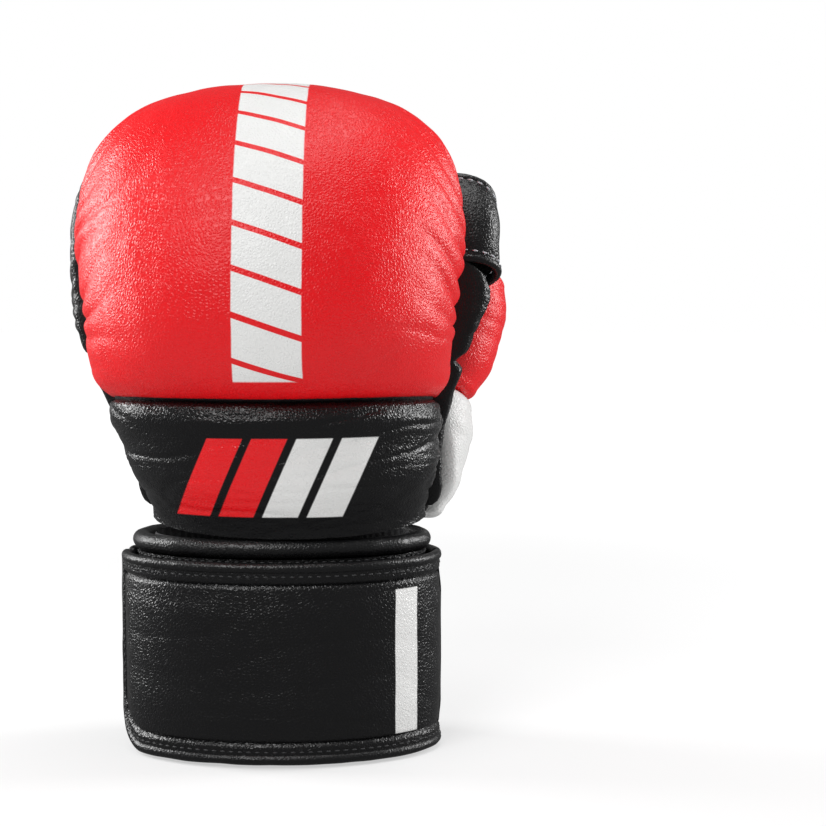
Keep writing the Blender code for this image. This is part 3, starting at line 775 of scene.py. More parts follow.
def band_surface(a, b):
    u = across_pad(a)
    s = (seam_line(u) - SEAM_HALF_GAP) * b
    at = s + hand_sizes().seam_at - seam_line(u)
    t = band_thickness(u, s) * side_roll_off(u)
    fold = lumps(u * 2.2, s * 95, 7)
    fine = lumps(u * 5, s * 260, 3)
    t -= 0.0006 * max(0, 0.16 - abs(fold)) / 0.16 * smooth(s / 0.012)
    t -= 0.00025 * max(0, 0.2 - abs(fine)) / 0.2
    ridge = math.exp(-((at - 0.0510) / 0.0050) ** 2)
    t += 0.0016 * ridge - 0.0034 * smooth((at - 0.0568) / 0.0025)
    t -= 0.0011 * gather(s + 0.05, u, 0.010, 3)
    return hand_point(u, s, t)


def band_back(a, b):
    u = across_pad(a)
    return hand_point(u, (seam_line(u) - SEAM_HALF_GAP) * b, PAD_STANDS_OFF)


BAR_HEIGHT, BAR_HALF_HEIGHT, BAR_HALF_WIDTH, BAR_PITCH = 0.1125, 0.0155, 0.0068, 0.017


def slanted_bars(finish):
    """Four plain leaning bars, two red and two white, as a printed ornament."""
    x, y, z = finish.axes()
    lean = x - (CUFF_CENTRE.x + 0.0005) - (z - BAR_HEIGHT) * 0.45
    tall = abs(z - BAR_HEIGHT).below(BAR_HALF_HEIGHT, 0.0003)
    front = y.below(CUFF_CENTRE.y - 0.02, 0.001)
    red, white = colours().red, colours().white
    prints = []
    for i, rgb in enumerate((red, red, white, white)):
        bar = abs(lean - (i - 1.5) * BAR_PITCH).below(BAR_HALF_WIDTH, 0.0003)
        prints.append((bar * tall * front, rgb))
    return prints


class GLOVE_OT_hand_band(Operator):
    """Build the black padded band on the back of the hand"""

    bl_idname = "glove.hand_band"
    bl_label = "Hand band"

    def execute(self, context):
        black = leather("band_leather", colours().black, 0.30, prints=slanted_bars,
                        crease_along=(1, 1, 4))
        band = finish_piece("hand_band", closed_pad(120, 76, band_surface, band_back), black, None,
                            "black_leather", ("backhand_skin", "backhand_foam"))
        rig.padded(band, 0.8)
        bend_at_seam(band)
        return {"FINISHED"}


class GLOVE_OT_hand_lining(Operator):
    """Build the ribbed lining inside the hand"""

    bl_idname = "glove.hand_lining"
    bl_label = "Hand lining"

    def execute(self, context):
        def at(depth):
            return lambda a, b: hand_point(math.sin((a - 0.5) * math.pi), spine_length() * b, depth)

        lining = finish_piece("hand_lining", closed_pad(60, 90, at(LINING_WALL), at(0.0)),
                              ribbed_lining(), None, "lining",
                              ("backhand_lining", "knuckle_lining"), sharp=None)
        bend_at_seam(lining)
        return {"FINISHED"}


# ---- cuff and strap

HEM_TUCK, HEM_TUCK_HEIGHT = 0.0095, 0.026
CUFF_WALL, CUFF_LINING_NEAR, CUFF_LINING_FAR = 0.005, 0.0056, 0.0069
CUFF_ROLL_HALF_HEIGHT = 0.0036
STRAP_ROLL_RADIUS, STRAP_ROLL_INSET, STRAP_PANEL_INSET = 0.0021, 0.0021, 0.0026
STRAP_STITCH_INSET, STITCH_SINK = 0.0052, 0.0003
FLAP_SLANT_DEGREES = 5.0
RING_COLUMNS, RING_SPACING = 144, 1 / 3000
HINGE_DEGREES, WRAP_END_DEGREES = 0.5, 172


def cuff_point(degrees, z, offset, tucked=False):
    """A point at this height and offset from the sleeve's oval; tucked follows its hem."""
    sizes = cuff_sizes()
    angle = math.radians(degrees)
    tuck = HEM_TUCK * (1 - smooth(z / HEM_TUCK_HEIGHT)) if tucked else 0
    wide, deep = sizes.half_width - tuck, sizes.half_depth - 0.6 * tuck
    cosine, sine = math.cos(angle), math.sin(angle)
    normal = Vector((cosine / wide, sine / deep, 0)).normalized()
    return CUFF_CENTRE + Vector((wide * cosine, deep * sine, z)) + normal * offset


def from_wrist(point):
    """The way out from the wrist's middle line at this point."""
    return point - CUFF_CENTRE - Vector((0, 0, point.z))


def ring_of(profile, rows, wobble=0.0):
    """A closed ring round the wrist from a closed profile of (offset, height)."""
    outline = resampled([Vector((*pair, 0)) for pair in profile], RING_SPACING,
                        closed=True)
    bm = bmesh.new()
    bmesh.ops.create_grid(bm, x_segments=RING_COLUMNS, y_segments=rows, size=0.5)
    for vertex in bm.verts:
        around, along = vertex.co.x + 0.5, vertex.co.y + 0.5
        place = along * len(outline)
        start = outline[int(place) % len(outline)]
        offset, z = start.lerp(outline[(int(place) + 1) % len(outline)], place % 1).xy
        turn = around * 2 * math.pi
        lump = wobble * lumps(math.cos(turn) * 5, math.sin(turn) * 5, z * 30)
        vertex.co = cuff_point(360 * around, z, offset + lump, tucked=True)
    bmesh.ops.remove_doubles(bm, verts=bm.verts, dist=WELD)
    bmesh.ops.recalc_face_normals(bm, faces=bm.faces)
    return bm


def oval(offset, height, wide, tall):
    """A closed oval profile of (offset, height), given by its middle and its half sizes."""
    turns = [2 * math.pi * i / 24 for i in range(24)]
    return [(offset + wide * math.cos(turn), height + tall * math.sin(turn)) for turn in turns]


def wall_profile(outer, inner, low, high):
    """A closed profile of (offset, height) for a wall between two offsets and two heights."""
    heights = [low + (high - low) * i / 12 for i in range(13)]
    return [(outer, z) for z in heights] + [(inner, z) for z in reversed(heights)]


class GLOVE_OT_cuff(Operator):
    """Build the sleeve, its lining and its rolled bindings"""

    bl_idname = "glove.cuff"
    bl_label = "Cuff"

    def execute(self, context):
        top = cuff_sizes().height
        wall = wall_profile(0, -CUFF_WALL, 0.0072, top - 0.0074)
        finish_black("sleeve", ring_of(wall, 60, wobble=0.0006), "hand", ("cuff_sleeve",))
        wall = wall_profile(-CUFF_LINING_NEAR, -CUFF_LINING_FAR, 0.001, top - 0.001)
        finish_piece("sleeve_lining", ring_of(wall, 60), ribbed_lining(), "hand", "lining",
                     ("cuff_lining",))
        half = CUFF_ROLL_HALF_HEIGHT
        for name, profile, wobble, node in (
                ("sleeve_top_roll", oval(-0.0014, top - half, half, half), 0.0008,
                 "cuff_top_binding"),
                ("sleeve_bottom_roll", oval(-0.0022, half, 0.0031, half), 0.0006,
                 "cuff_bottom_binding")):
            finish_piece(name, ring_of(profile, 24, wobble), piping_leather(), "hand",
                         "black_binding", (node,), sharp=None)
        bm = bmesh.new()
        path = [cuff_point(degrees, top - 0.0085, 0.0003, True) for degrees in range(0, 361, 3)]
        add_stitches(bm, path, from_wrist)
        finish_stitches("sleeve_top_stitches", bm, "hand")
        return {"FINISHED"}


@functools.cache
def flap_reach():
    """Length of the flap round the wrist, from its hinge to its free end."""
    points = [cuff_point(-degrees, 0, 0.005) for degrees in range(0, 181, 3)]
    return sum((b - a).length for a, b in zip(points, points[1:]))


CORNER_FROM = 0.8


def flap_outline(t, inset):
    """Share of the way round, and height, of the flap's lower edge at t from hinge to free end."""
    radius = cuff_sizes().corner_radius - inset
    reach = flap_reach()
    straight = 1 - (radius + inset) / reach
    foot = cuff_sizes().strap_bottom + inset
    if t <= CORNER_FROM:
        return straight * t / CORNER_FROM, foot
    turn = math.radians((t - CORNER_FROM) / (1 - CORNER_FROM) * 90)
    return straight + radius * math.sin(turn) / reach, foot + radius * (1 - math.cos(turn))


def eased(b):
    """Rows set closer together near both edges."""
    return 0.35 * b + 0.65 * (1 - math.cos(math.pi * b)) / 2


def flap_point(t, b, inset, offset):
    sizes = cuff_sizes()
    share, foot = flap_outline(t, inset)
    top = sizes.strap_top - inset
    z = foot + (top - foot) * b
    lean = (z - sizes.strap_bottom) / (sizes.strap_top - sizes.strap_bottom)
    end = -180 + FLAP_SLANT_DEGREES * (1 - lean)
    return cuff_point(-HINGE_DEGREES + (end + HINGE_DEGREES) * share, z, offset)


def flap_relief(t, b):
    """How far the flap's leather stands proud: pressed in by its rim, a little full inside it."""
    share, foot = flap_outline(t, 0)
    top = cuff_sizes().strap_top
    z = foot + (top - foot) * b
    around = share * flap_reach()
    from_edge = min(z - foot, top - z, (1 - share) * flap_reach() + 0.002)
    groove = math.exp(-((from_edge - 0.0064) / 0.0007) ** 2)
    binding = 1 - smooth((from_edge - 0.0048) / 0.0014)
    full = smooth((from_edge - 0.0060) / 0.014)
    fold = lumps(around * 16, z * 60, 2)
    ridge = max(0, 0.16 - abs(fold)) / 0.16
    swell = lumps(around * 22, z * 18, 8)
    inside = (0.0009 - 0.00025 * ridge + 0.0006 * swell) * full
    return inside + 0.0003 * binding - 0.0011 * groove - 0.0006


TAB_PLACE, TAB_HEIGHT, TAB_HALF_WIDTH, TAB_HALF_HEIGHT = 0.0502, 0.039, 0.0042, 0.0285


def white_tab(finish):
    """A plain white bar near the strap's fixed end, on its outer face only."""
    x, y, z = finish.axes()
    wobble = (finish.noise(90, 2) - 0.5) * 0.0006
    wide = (abs(x - (CUFF_CENTRE.x + TAB_PLACE)) + wobble).below(TAB_HALF_WIDTH, 0.0002)
    tall = (abs(z - TAB_HEIGHT) + wobble).below(TAB_HALF_HEIGHT, 0.0002)
    sizes = cuff_sizes()
    across = (x - CUFF_CENTRE.x) / (sizes.half_width + 0.0046)
    deep = (y - CUFF_CENTRE.y) / (sizes.half_depth + 0.0046)
    outside = (across * across + deep * deep).above(1.0, 0.004)
    front = y.below(CUFF_CENTRE.y - 0.002, 0.0005) * outside
    return [(wide * tall * front, colours().white)]


def flap_rim(inset, offset):
    """A path round the flap's free edges, this far in from them."""
    lower = [flap_point(i / 160, 0, inset, offset) for i in range(161)]
    end = [flap_point(1, i / 20, inset, offset) for i in range(1, 20)]
    upper = [flap_point(1 - i / 160, 1, inset, offset) for i in range(161)]
    return lower + end + upper


class GLOVE_OT_strap_flap(Operator):
    """Build the free half of the wrist strap, with its rolled rim and its stitches"""

    bl_idname = "glove.strap_flap"
    bl_label = "Strap flap"

    def execute(self, context):
        sizes = cuff_sizes()
        inner, outer = sizes.strap_inner, sizes.strap_inner + sizes.strap_thickness

        def face(a, b):
            b = eased(b)
            return flap_point(a, b, STRAP_PANEL_INSET, outer + flap_relief(a, b))

        def back(a, b):
            return flap_point(a, eased(b), STRAP_PANEL_INSET, inner)

        strap = leather("strap_leather", colours().black, 0.31, prints=white_tab,
                        crease_along=(1, 1, 2.2))
        finish_piece("strap_flap_panel", closed_pad(220, 70, face, back), strap, "flap",
                     "black_leather", ("strap_flap",))
        rim = flap_rim(STRAP_ROLL_INSET, (inner + outer) / 2)
        finish_roll("strap_flap_rim", rim, STRAP_ROLL_RADIUS, "flap", ("strap_flap_binding",),
                    swell=0.10)
        bm = bmesh.new()
        add_stitches(bm, flap_rim(STRAP_STITCH_INSET, outer - STITCH_SINK), from_wrist)
        finish_stitches("strap_flap_stitches", bm, "flap")
        return {"FINISHED"}


def wrap_grid(start, end, low, high, offset):
    """place(a, b) on a band round the wrist between two angles and two heights."""
    def place(a, b):
        depth = offset(a, b) if callable(offset) else offset
        return cuff_point(start + (end - start) * a, low + (high - low) * b, depth)
    return place


def wrap_line(z, offset):
    """A path along the fixed half of the strap."""
    turn = WRAP_END_DEGREES - HINGE_DEGREES
    return [cuff_point(HINGE_DEGREES + turn * i / 120, z, offset) for i in range(121)]


class GLOVE_OT_strap_wrap(Operator):
    """Build the fixed half of the wrist strap, its padding, its rims and the fastener tapes"""

    bl_idname = "glove.strap_wrap"
    bl_label = "Strap wrap"

    def execute(self, context):
        sizes = cuff_sizes()
        inner, outer = sizes.strap_inner, sizes.strap_inner + sizes.strap_thickness
        low, high = sizes.strap_bottom, sizes.strap_top

        def relief(a, b):
            from_edge = min(b, 1 - b) * (high - low)
            binding = 1 - smooth((from_edge - 0.0030) / 0.0014)
            groove = math.exp(-((from_edge - 0.0042) / 0.0008) ** 2)
            full = 0.0009 * smooth((from_edge - 0.004) / 0.012)
            swell = 0.0006 * lumps(a * 7, b * 3, 5)
            return outer - 0.0006 + full + 0.0003 * binding - 0.0010 * groove + swell

        face, back = (wrap_grid(HINGE_DEGREES, WRAP_END_DEGREES, low + STRAP_PANEL_INSET,
                                high - STRAP_PANEL_INSET, depth) for depth in (relief, inner))
        finish_black("strap_wrap_panel", closed_pad(160, 40, face, back), "hand", ("strap_wrap",))
        core = [wrap_grid(5, 168, low + 0.009, high - 0.009, depth)
                for depth in (inner - 0.0006, 0.0006)]
        padding = finish_piece("strap_wrap_core", closed_pad(80, 10, *core), fastener_tape(),
                               "hand", "foam", ("strap_wrap_padding",))
        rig.padded(padding, 0.5)
        stitches = bmesh.new()
        for name, z, inward in (("top", high, -1), ("bottom", low, 1)):
            rim = wrap_line(z + inward * STRAP_ROLL_INSET, (inner + outer) / 2)
            finish_roll(f"strap_wrap_{name}_rim", rim, STRAP_ROLL_RADIUS, "hand",
                        (f"strap_wrap_{name}_binding",), swell=0.10)
            seam = wrap_line(z + inward * STRAP_STITCH_INSET, outer - STITCH_SINK)
            add_stitches(stitches, seam, from_wrist)
        finish_stitches("strap_wrap_stitches", stitches, "hand")
        for name, body, start, end, near, far, node in (
                ("loop_tape", "hand", -172, -116, 0.0004, 0.0015, "cuff_loop_patch"),
                ("hook_tape", "flap", -166, -122, 0.0019, 0.0030, "strap_hook_patch")):
            faces = [wrap_grid(start, end, 0.0235, 0.0693, depth) for depth in (far, near)]
            finish_piece(name, closed_pad(40, 12, *faces), fastener_tape(), body, "fastener_tape",
                         (node,), sharp=40)
        return {"FINISHED"}


# ---- sides and rim of the hand

def wall_section(depth, swell, thick):
    """The outline round a side wall, as corners of (depth towards the palm, distance outwards)."""
    return [(0.0006, 0.0006), (0.0006, thick), (depth * 0.10, max(swell * 0.86, thick)),
            (depth * 0.30, swell * 0.97), (depth * 0.55, swell), (depth * 0.82, swell * 0.92),
            (depth, swell * 0.72), (depth * 1.02, swell * 0.52), (depth * 0.92, swell * 0.40),
            (depth * 0.6, swell * 0.36), (depth * 0.25, swell * 0.15)]


def curved_at(corners, share):
    """The point at this share of the way round a smooth closed curve through the corners."""
    at = share * len(corners)
    i, t = int(at), at % 1
    near = [corners[(i + k) % len(corners)] for k in (-1, 0, 1, 2)]
    return [0.5 * (2 * q + (r - p) * t + (2 * p - 5 * q + 4 * r - s) * t ** 2
                   + (3 * q - p - 3 * r + s) * t ** 3) for p, q, r, s in zip(*near)]


def side_wall(side, start, end, depth, bulge):
    """place(a, b) on a padded side wall: a goes round its section and b runs up the hand."""
    seam = hand_sizes().seam_at

    def place(a, b):
        s = start + (end - start) * b
        thick = (knuckle_thickness(1, s) if s > seam else band_thickness(1, s)) * 0.62
        swell = bulge * (0.45 + 0.55 * smooth((s - 0.020) / 0.060))
        if side > 0:
            swell += 0.0040 * math.exp(-((s - 0.104) / 0.020) ** 2)
            swell -= 0.0065 * smooth((s - 0.118) / 0.014)
        swell *= 0.72 + 0.28 * crown(min(b, 1 - b) / 0.05, 0.5)
        swell *= 1 - 0.16 * math.exp(-((s - seam) / 0.0022) ** 2)
        swell += 0.0007 * lumps(s * 90, a * 6, side)
        swell -= 0.0008 * gather(s, 0.93, 0.012, 21)
        return side_point(side, s, *curved_at(wall_section(depth, swell, thick), a))
    return place


def closed_tube(around, along, place):
    """A tube through place(a, b), closed round a and filled at both ends."""
    bm = shaped_grid(around, along, place)
    bmesh.ops.remove_doubles(bm, verts=bm.verts, dist=WELD)
    bmesh.ops.holes_fill(bm, edges=[edge for edge in bm.edges if edge.is_boundary], sides=0)
    bmesh.ops.recalc_face_normals(bm, faces=bm.faces)
    return bm


class GLOVE_OT_hand_sides(Operator):
    """Build the padded black side walls and the rolled rim of the finger opening"""

    bl_idname = "glove.hand_sides"
    bl_label = "Hand sides"

    def execute(self, context):
        sides = (("little_finger_side", -1, spine_length() - 0.006, 0.024, 0.025,
                  ("gusset_pinky_lower", "gusset_pinky_upper")),
                 ("thumb_side", 1, 0.188, 0.010, 0.0255,
                  ("gusset_thumb_lower", "gusset_thumb_upper")))
        for name, side, end, depth, bulge, nodes in sides:
            bm = closed_tube(44, 130, side_wall(side, 0.002, end, depth, bulge))
            wall = finish_black(name, bm, None, nodes, sharp=60)
            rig.padded(wall, 0.7)
            bend_at_seam(wall)

        sizes = hand_sizes()
        end = spine_length()
        palmward = spine(end)[1]
        outward = Vector((1, 0, 0)).cross(palmward)
        rim = [hand_point(-1 + i / 40, end, 0.0033) + outward * 0.0037 for i in range(81)]
        finish_roll("finger_opening_roll", rim, sizes.piping, "knuckles", ("knuckle_rim_binding",))
        bm = bmesh.new()
        path = [hand_point(-0.97 + i * 0.97 / 40, end - 0.0035, 0.0) for i in range(81)]
        add_stitches(bm, path, lambda point: palmward)
        finish_stitches("finger_opening_stitches", bm, "knuckles")

        path = []
        for i in range(3, 118):
            u = 0.985 * math.sin((i / 120 - 0.5) * math.pi)
            depth = band_thickness(u, sizes.seam_at) * side_roll_off(u) - 0.0022
            path.append(hand_point(u, seam_line(u), depth))
        bend_at_seam(finish_roll("knuckle_seam_roll", path, 0.0016, None, swell=0.1))
        return {"FINISHED"}


# ---- palm heel

PALM_HEEL_HEIGHT = 0.020


class GLOVE_OT_palm_heel(Operator):
    """Build the small leather panel at the heel of the palm and its rolled edge"""

    bl_idname = "glove.palm_heel"
    bl_label = "Palm heel"

    def execute(self, context):
        low = hand_sizes().bottom
        high = low + PALM_HEEL_HEIGHT

        def face(offset, crease):
            def place(a, b):
                fold = lumps(a * 5, b * 3.2, 6)
                soft = 0.0008 * lumps(a * 9, b * 4, 1)
                relief = soft - 0.0012 * max(0, 0.25 - abs(fold)) / 0.25
                return cuff_point(44 + 94 * a, low + (high - low) * b, offset + crease * relief)
            return place

        finish_black("palm_heel_leather", closed_pad(90, 24, face(0.0004, 1), face(-0.003, 0)),
                     "hand", ("palm_heel_panel",))
        edge = [cuff_point(43 + 96 * i / 60, high + 0.0034 - 0.006 * smooth((6 - i) / 6), -0.0015)
                for i in range(61)]
        finish_roll("palm_heel_roll", edge, hand_sizes().piping, "hand", ("palm_heel_binding",))
        bm = bmesh.new()
        path = [cuff_point(51 + 86 * i / 60, high - 0.0022, 0.0008) for i in range(61)]
        add_stitches(bm, path, from_wrist)
        finish_stitches("palm_heel_stitches", bm, "hand")
        return {"FINISHED"}


# ---- finger loops

LOOP_WALL = 0.0024
LOOP_WIDTH, LOOP_DEPTH, LOOP_PITCH = 0.0254, 0.024, 0.0286
LITTLE_LOOP_X = -0.0416
INDEX_LOOP_REACH = 0.033
LOOP_ROLL_INSET, LOOP_STITCH_INSET = 0.0010, 0.0044


def arc_length_at(degrees):
    sizes = hand_sizes()
    return sizes.back_length + sizes.curl_radius * (math.radians(degrees) + HAND_LEAN)


def place_in_hand(s, x, w):
    point, inward = spine(s)
    return Vector((x, 0, 0)) + point + inward * w


def loop_path(middle, s):
    """The loop's middle line across the hand, as (across, depth) pairs."""
    path = []
    for i in range(25):
        turn = math.pi * i / 24
        x = middle - LOOP_WIDTH / 2 * math.cos(turn)
        share = min(abs(x - side_shift(s)) / half_width(s), 0.999)
        lining = wrap_depth(s) * (1 - math.sqrt(1 - share * share))
        depth = lining + LOOP_WALL / 2 + 0.0008 + LOOP_DEPTH * math.sin(turn) ** 0.9
        path.append(Vector((x, depth, 0)))
    return path


def index_loop_path(s):
    """The same for the index finger's loop, which closes beyond the pad's side."""
    edge = side_shift(s) + half_width(s)
    reach = INDEX_LOOP_REACH
    corners = [(edge - 0.018, -0.008), (edge - 0.022, 0.024), (edge + 0.002, 0.027),
               (edge + reach * 0.45, 0.025), (edge + reach * 1.22, 0.022),
               (edge + reach * 1.14, -0.002), (edge + reach * 0.36, 0.0014)]
    corners = [Vector((x, wrap_depth(s) + w, 0)) for x, w in corners]
    return interpolate_bezier(*corners[:4], 14) + interpolate_bezier(*corners[3:], 15)[1:]


def beside(s, here, along, away):
    """A point in the hand, this far to the side of a loop's middle line."""
    return place_in_hand(s, here.x - along.y * away, here.y + along.x * away)


def strip_face(path_at, start, end, offset):
    """place(a, b) on a strip with the middle line path_at(s), at this offset from it."""
    def place(a, b):
        s = start + (end - start) * b
        path = path_at(s)
        at = a * (len(path) - 1)
        i = min(int(at), len(path) - 2)
        here = path[i].lerp(path[i + 1], at - i)
        along = (path[i + 1] - path[i]).normalized()
        soft = 0.0006 * lumps(a * 7, b * 3, start * 50)
        soft -= 0.0007 * math.exp(-((min(b, 1 - b) - 0.11) / 0.03) ** 2)
        return beside(s, here, along, offset + math.copysign(1, offset) * soft)
    return place


def make_loop(name, path_at, start, end, node):
    """A leather loop with a rolled edge and two rows of stitches at each end of its width."""
    half = LOOP_WALL / 2
    faces = [strip_face(path_at, start, end, half * share) for share in (0.8, -0.8)]
    finish_black(name, closed_pad(70, 22, *faces), "knuckles", (node,))
    stitches = bmesh.new()
    rolls = bmesh.new()
    for s, inward in ((start, 1), (end, -1)):
        edge = s + inward * LOOP_ROLL_INSET
        centre = [place_in_hand(edge, point.x, point.y) for point in path_at(edge)]
        part = roll(resampled(centre, 0.0015), 0.0017, swell=0.1)
        mesh = bpy.data.meshes.new("part")
        part.to_mesh(mesh)
        part.free()
        rolls.from_mesh(mesh)
        bpy.data.meshes.remove(mesh)
        inset = s + inward * LOOP_STITCH_INSET
        path = path_at(inset)
        for sign in (1, -1):
            spots = [beside(inset, here, (ahead - here).normalized(), sign * (half + 0.0002))
                     for here, ahead in zip(path, path[1:])]
            middle = sum(spots, Vector()) / len(spots)
            add_stitches(stitches, spots, lambda point: (point - middle) * sign, spacing=0.0040,
                         size=0.0013, thick=0.00035)
    finish_piece(name + "_rolls", rolls, piping_leather(), "knuckles", "black_leather", sharp=None)
    finish_stitches(name + "_stitches", stitches, "knuckles", "black_leather", "pale_thread")


class GLOVE_OT_finger_loops(Operator):
    """Build the four leather finger loops with their rolled edges and pale stitches"""

    bl_idname = "glove.finger_loops"
    bl_label = "Finger loops"

    def execute(self, context):
        low, high = arc_length_at(20), arc_length_at(47)
        for i, finger in enumerate(("little", "ring", "middle")):
            middle = LITTLE_LOOP_X + i * LOOP_PITCH
            make_loop(f"{finger}_finger_loop", lambda s, m=middle: loop_path(m, s), low, high,
                      f"finger_loop_{finger}")
        make_loop("index_finger_loop", index_loop_path, 0.128, 0.178, "finger_loop_index")
        return {"FINISHED"}


# ---- thumb

THUMB_BASE, THUMB_TIP = Vector((0.043, 0.020, 0.095)), Vector((0.0715, 0.051, 0.192))
THUMB_ALONG = (THUMB_TIP - THUMB_BASE).normalized()
THUMB_OUT = (Vector((1, 0, 0)) - THUMB_ALONG * THUMB_ALONG.x).normalized()
THUMB_PALMWARD = THUMB_ALONG.cross(THUMB_OUT)
THUMB_LENGTH = (THUMB_TIP - THUMB_BASE).length
THUMB_BORE, THUMB_EDGE = 0.013, 88
THUMB_SPLIT, SPLIT_HALF_GAP = 0.052, 0.0003
THUMB_ROLL_RADIUS = 0.0026


def thumb_point(degrees, s, t):
    """A thumb point: turned from its outer side to the palm, s up it and t outside its bore."""
    angle = math.radians(degrees)
    out = THUMB_OUT * math.cos(angle) + THUMB_PALMWARD * math.sin(angle)
    return CUFF_CENTRE + THUMB_BASE + THUMB_ALONG * s + out * (THUMB_BORE + t)


def thumb_back_edge(s):
    return -20 - 68 * smooth(s / 0.060)


def thumb_place(start, end, a, b):
    """(degrees, s) at these shares of the way round the thumb's pads and up them."""
    s = start + (end - start) * b
    low = thumb_back_edge(s)
    return low + (THUMB_EDGE - low) * a, s


def thumb_surface(start, end):
    def place(a, b):
        degrees, s = thumb_place(start, end, a, b)
        round_off = 1 - abs(degrees / THUMB_EDGE) ** 2.5
        dome = smooth(min(b, 1 - b) * 3.2)
        t = 0.0064 + 0.0065 * round_off * (0.35 + 0.65 * dome)
        border = crown(min(min(a, 1 - a) / 0.10, min(b, 1 - b) / 0.06), 0.5)
        t = 0.0022 + (t - 0.0022) * (0.35 + 0.65 * border)
        crease = gather(s + 0.02, 1 - 0.3 * min(a, 1 - a), 0.0085, 31)
        t -= 0.0006 * crease - 0.0004 * lumps(a * 4, s * 45, 17)
        return thumb_point(degrees, s, t)
    return place


def thumb_inside(start, end, depth):
    return lambda a, b: thumb_point(*thumb_place(start, end, a, b), depth)


def thumb_sleeve(depth):
    def place(a, b):
        soft = 0.0006 * lumps(a * 6, b * 3, 2)
        return thumb_point(99 + 171.5 * a, 0.056 + 0.041 * b, depth + soft)
    return place


def thumb_web(lift):
    """place(a, b) on the leather between the hand's side, at a = 0, and the thumb, at a = 1."""
    def place(a, b):
        on_hand = side_point(1, 0.003 + 0.080 * b, 0.004, 0.004)
        s = 0.002 + 0.084 * b
        on_thumb = thumb_point(thumb_back_edge(s) - 2, s, 0.0010)
        soft = 0.0008 * lumps(a * 4, b * 9, 3)
        full = (0.0035 * math.sin(math.pi * a) + soft) * (0.3 + 0.7 * b)
        return on_hand.lerp(on_thumb, a) + Vector((full - lift, 0, 0))
    return place


class GLOVE_OT_thumb(Operator):
    """Build the padded thumb in two colours, with its lining, sleeve and rolled edge"""

    bl_idname = "glove.thumb"
    bl_label = "Thumb"

    def execute(self, context):
        white = leather("pebbled_white_leather", colours().white, 0.40)
        for name, start, end, material, slot in (
                ("thumb_base", 0, THUMB_SPLIT - SPLIT_HALF_GAP, white, "white_leather"),
                ("thumb_tip", THUMB_SPLIT + SPLIT_HALF_GAP, THUMB_LENGTH, red_leather(),
                 "red_leather")):
            bm = closed_pad(64, 60, thumb_surface(start, end),
                            thumb_inside(start, end, PAD_STANDS_OFF))
            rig.padded(finish_piece(f"{name}_pad", bm, material, "thumb", slot,
                                   (f"{name}_skin", f"{name}_foam")), 0.7)
        faces = [thumb_inside(0, THUMB_LENGTH, depth) for depth in (LINING_WALL, 0.0)]
        finish_piece("thumb_inner_lining", closed_pad(32, 40, *faces), ribbed_lining(), "thumb",
                     "lining", ("thumb_lining",))
        bm = closed_pad(60, 24, thumb_sleeve(0.002), thumb_sleeve(0.0002))
        finish_black("thumb_leather_sleeve", bm, "thumb", ("thumb_sleeve",))
        radius = THUMB_ROLL_RADIUS
        edge = THUMB_EDGE + math.degrees((radius + 0.0004) / (THUMB_BORE + radius))
        path = [thumb_point(edge, THUMB_LENGTH * i / 60, radius) for i in range(61)]
        finish_roll("thumb_edge_roll", path, radius, "thumb", ("thumb_binding",))

        web = finish_black("thumb_web", closed_pad(30, 60, thumb_web(0), thumb_web(0.0016)), None)
        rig.blend(web, "hand", "thumb", start=Vector((0, 0.004, 0)), end=Vector((0, 0.020, 0)))
        low = thumb_back_edge(THUMB_LENGTH)
        rim = [thumb_point(low + (THUMB_EDGE - low) * i / 60, THUMB_LENGTH + 0.0008, 0.0030)
               for i in range(61)]
        finish_roll("thumb_tip_roll", rim, 0.0022, "thumb")
        heights = [THUMB_LENGTH * (1 - i / 60) for i in range(61)]
        back = [thumb_point(thumb_back_edge(s) - 4, s, 0.0026) for s in heights]
        finish_roll("thumb_back_roll", back, 0.0020, "thumb")
        return {"FINISHED"}


# ---- floor, light and camera

AMBIENT = 0.16
FLOOR_HALF_WIDTH = 6
CAMERA_PLACE = Vector((0.0528, -0.764, 0.1874))
CAMERA_LENS, CAMERA_TILT_DEGREES = 83.16, 3.98744


def area_light(name, place, target, size, power):
    light = bpy.data.lights.new(name, "AREA")
    light.shape = "RECTANGLE"
    light.size, light.size_y = size
    light.energy = power
    lamp = bpy.data.objects.new(name, light)
    bpy.context.scene.collection.objects.link(lamp)
    lamp.location = place
    lamp.rotation_euler = (Vector(target) - Vector(place)).to_track_quat("-Z", "Y").to_euler()


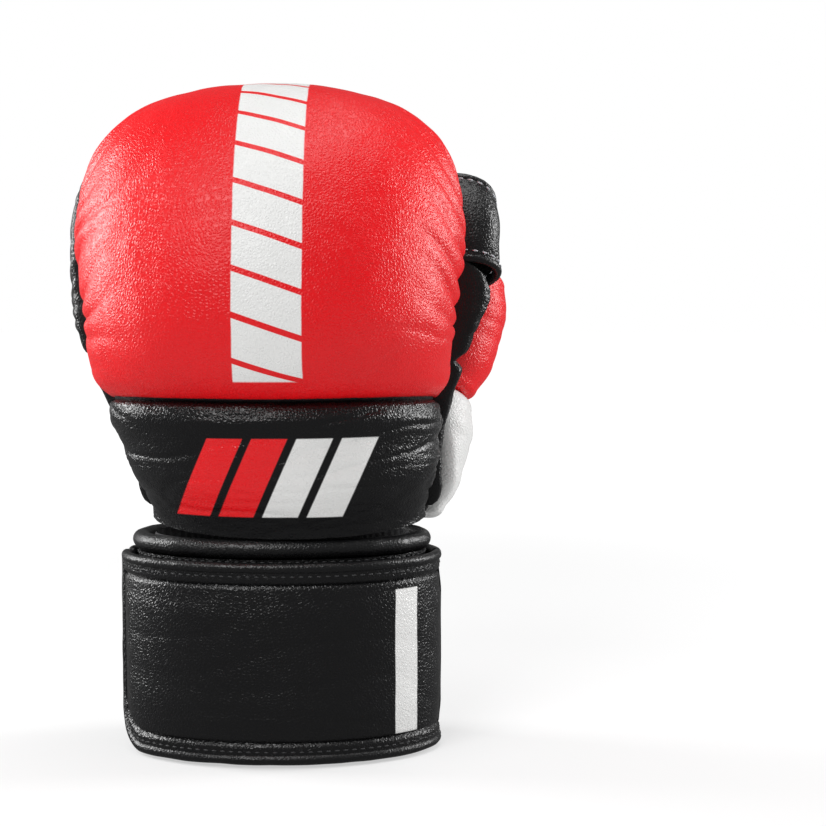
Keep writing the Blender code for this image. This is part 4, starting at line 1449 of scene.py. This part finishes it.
class GLOVE_OT_stage(Operator):
    """Add the pale floor, the soft lights and the camera"""

    bl_idname = "glove.stage"
    bl_label = "Floor, light and camera"

    def execute(self, context):
        scene = context.scene
        bm = bmesh.new()
        bmesh.ops.create_grid(bm, x_segments=1, y_segments=1, size=FLOOR_HALF_WIDTH)
        mesh = bpy.data.meshes.new("floor")
        bm.to_mesh(mesh)
        bm.free()
        floor = bpy.data.objects.new("floor", mesh)
        scene.collection.objects.link(floor)
        paper = Finish("pale_floor")
        x, y, _ = paper.axes()
        # The floor glows evenly white far out, to meet the backdrop, and dimmer near the glove: a painted contact
        # shadow.
        far = (x * x + y * y).above(0.55, 0.5)
        glow = paper.mix(far, grey(0.54), grey(1))
        tint = paper.mix(paper.noise(3, 2), grey(0.36), grey(0.38))
        mesh.materials.append(paper.set(Base_Color=tint, Roughness=0.75, Specular_IOR_Level=0.1,
                                        Emission_Color=glow, Emission_Strength=1.0))
        floor.visible_glossy = False
        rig.stage(floor)

        world = bpy.data.worlds.new("studio")
        scene.world = world
        world.use_nodes = True
        tree = world.node_tree
        backdrop = tree.nodes["Background"]
        backdrop.inputs["Color"].default_value = (1, 1, 1, 1)
        seen = tree.nodes.new("ShaderNodeLightPath").outputs["Is Camera Ray"]
        strength = Wire(tree, seen) * (1 - AMBIENT) + AMBIENT
        tree.links.new(strength.socket, backdrop.inputs["Strength"])

        aim = (CUFF_CENTRE.x, -0.02, 0.15)
        area_light("left_softbox", (-0.80, 0.22, 0.42), aim, (0.35, 0.55), 8)
        area_light("right_softbox", (0.85, 0.20, 0.40), aim, (0.30, 0.50), 6)
        area_light("key_softbox", (-0.40, -0.85, 0.95), aim, (0.6, 0.5), 7.5)
        area_light("top_softbox", (0.15, -0.10, 1.15), aim, (0.9, 0.4), 5)

        camera_data = bpy.data.cameras.new("camera")
        camera_data.lens = CAMERA_LENS
        camera_data.sensor_width = 36
        camera_data.clip_start = 0.01
        camera = bpy.data.objects.new("camera", camera_data)
        scene.collection.objects.link(camera)
        camera.location = CUFF_CENTRE + CAMERA_PLACE
        camera.rotation_euler = (math.radians(90 - CAMERA_TILT_DEGREES), 0, 0)
        scene.camera = camera
        scene.view_settings.view_transform = "Standard"
        scene.view_settings.look = "None"
        return {"FINISHED"}


class GLOVE_PT_panel(Panel):
    """Lists the glove's pieces, its sizes and its colours"""

    bl_label = "Padded sparring glove"
    bl_idname = "GLOVE_PT_panel"
    bl_space_type = "VIEW_3D"
    bl_region_type = "UI"
    bl_category = "Glove"

    def draw(self, context):
        for maker in MAKERS:
            self.layout.operator(maker.bl_idname)
        for pointer in SIZE_GROUPS:
            group = getattr(context.scene, pointer)
            box = self.layout.box()
            for name in type(group).__annotations__:
                box.prop(group, name)


MAKERS = tuple(kind for name, kind in list(globals().items()) if name.startswith("GLOVE_OT_"))
SIZE_GROUPS = {"glove_hand": GloveHandSizes, "glove_cuff": GloveCuffSizes,
               "glove_colours": GloveColours}


def register():
    for kind in (*SIZE_GROUPS.values(), *MAKERS, GLOVE_PT_panel):
        bpy.utils.register_class(kind)
    for name, kind in SIZE_GROUPS.items():
        setattr(bpy.types.Scene, name, PointerProperty(type=kind))


def unregister():
    for name in SIZE_GROUPS:
        delattr(bpy.types.Scene, name)
    for kind in (GLOVE_PT_panel, *reversed(MAKERS), *reversed(SIZE_GROUPS.values())):
        bpy.utils.unregister_class(kind)


def main():
    register()
    for maker in MAKERS:
        family, name = maker.bl_idname.split(".")
        getattr(getattr(bpy.ops, family), name)()
    boxes = {"cad": [list(corner) for corner in SOLIDS_BOX],
             "visual": [list(corner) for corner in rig.bounds()]}
    with open("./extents.json", "w") as out:
        json.dump(boxes, out)


if __name__ == "__main__":
    main()
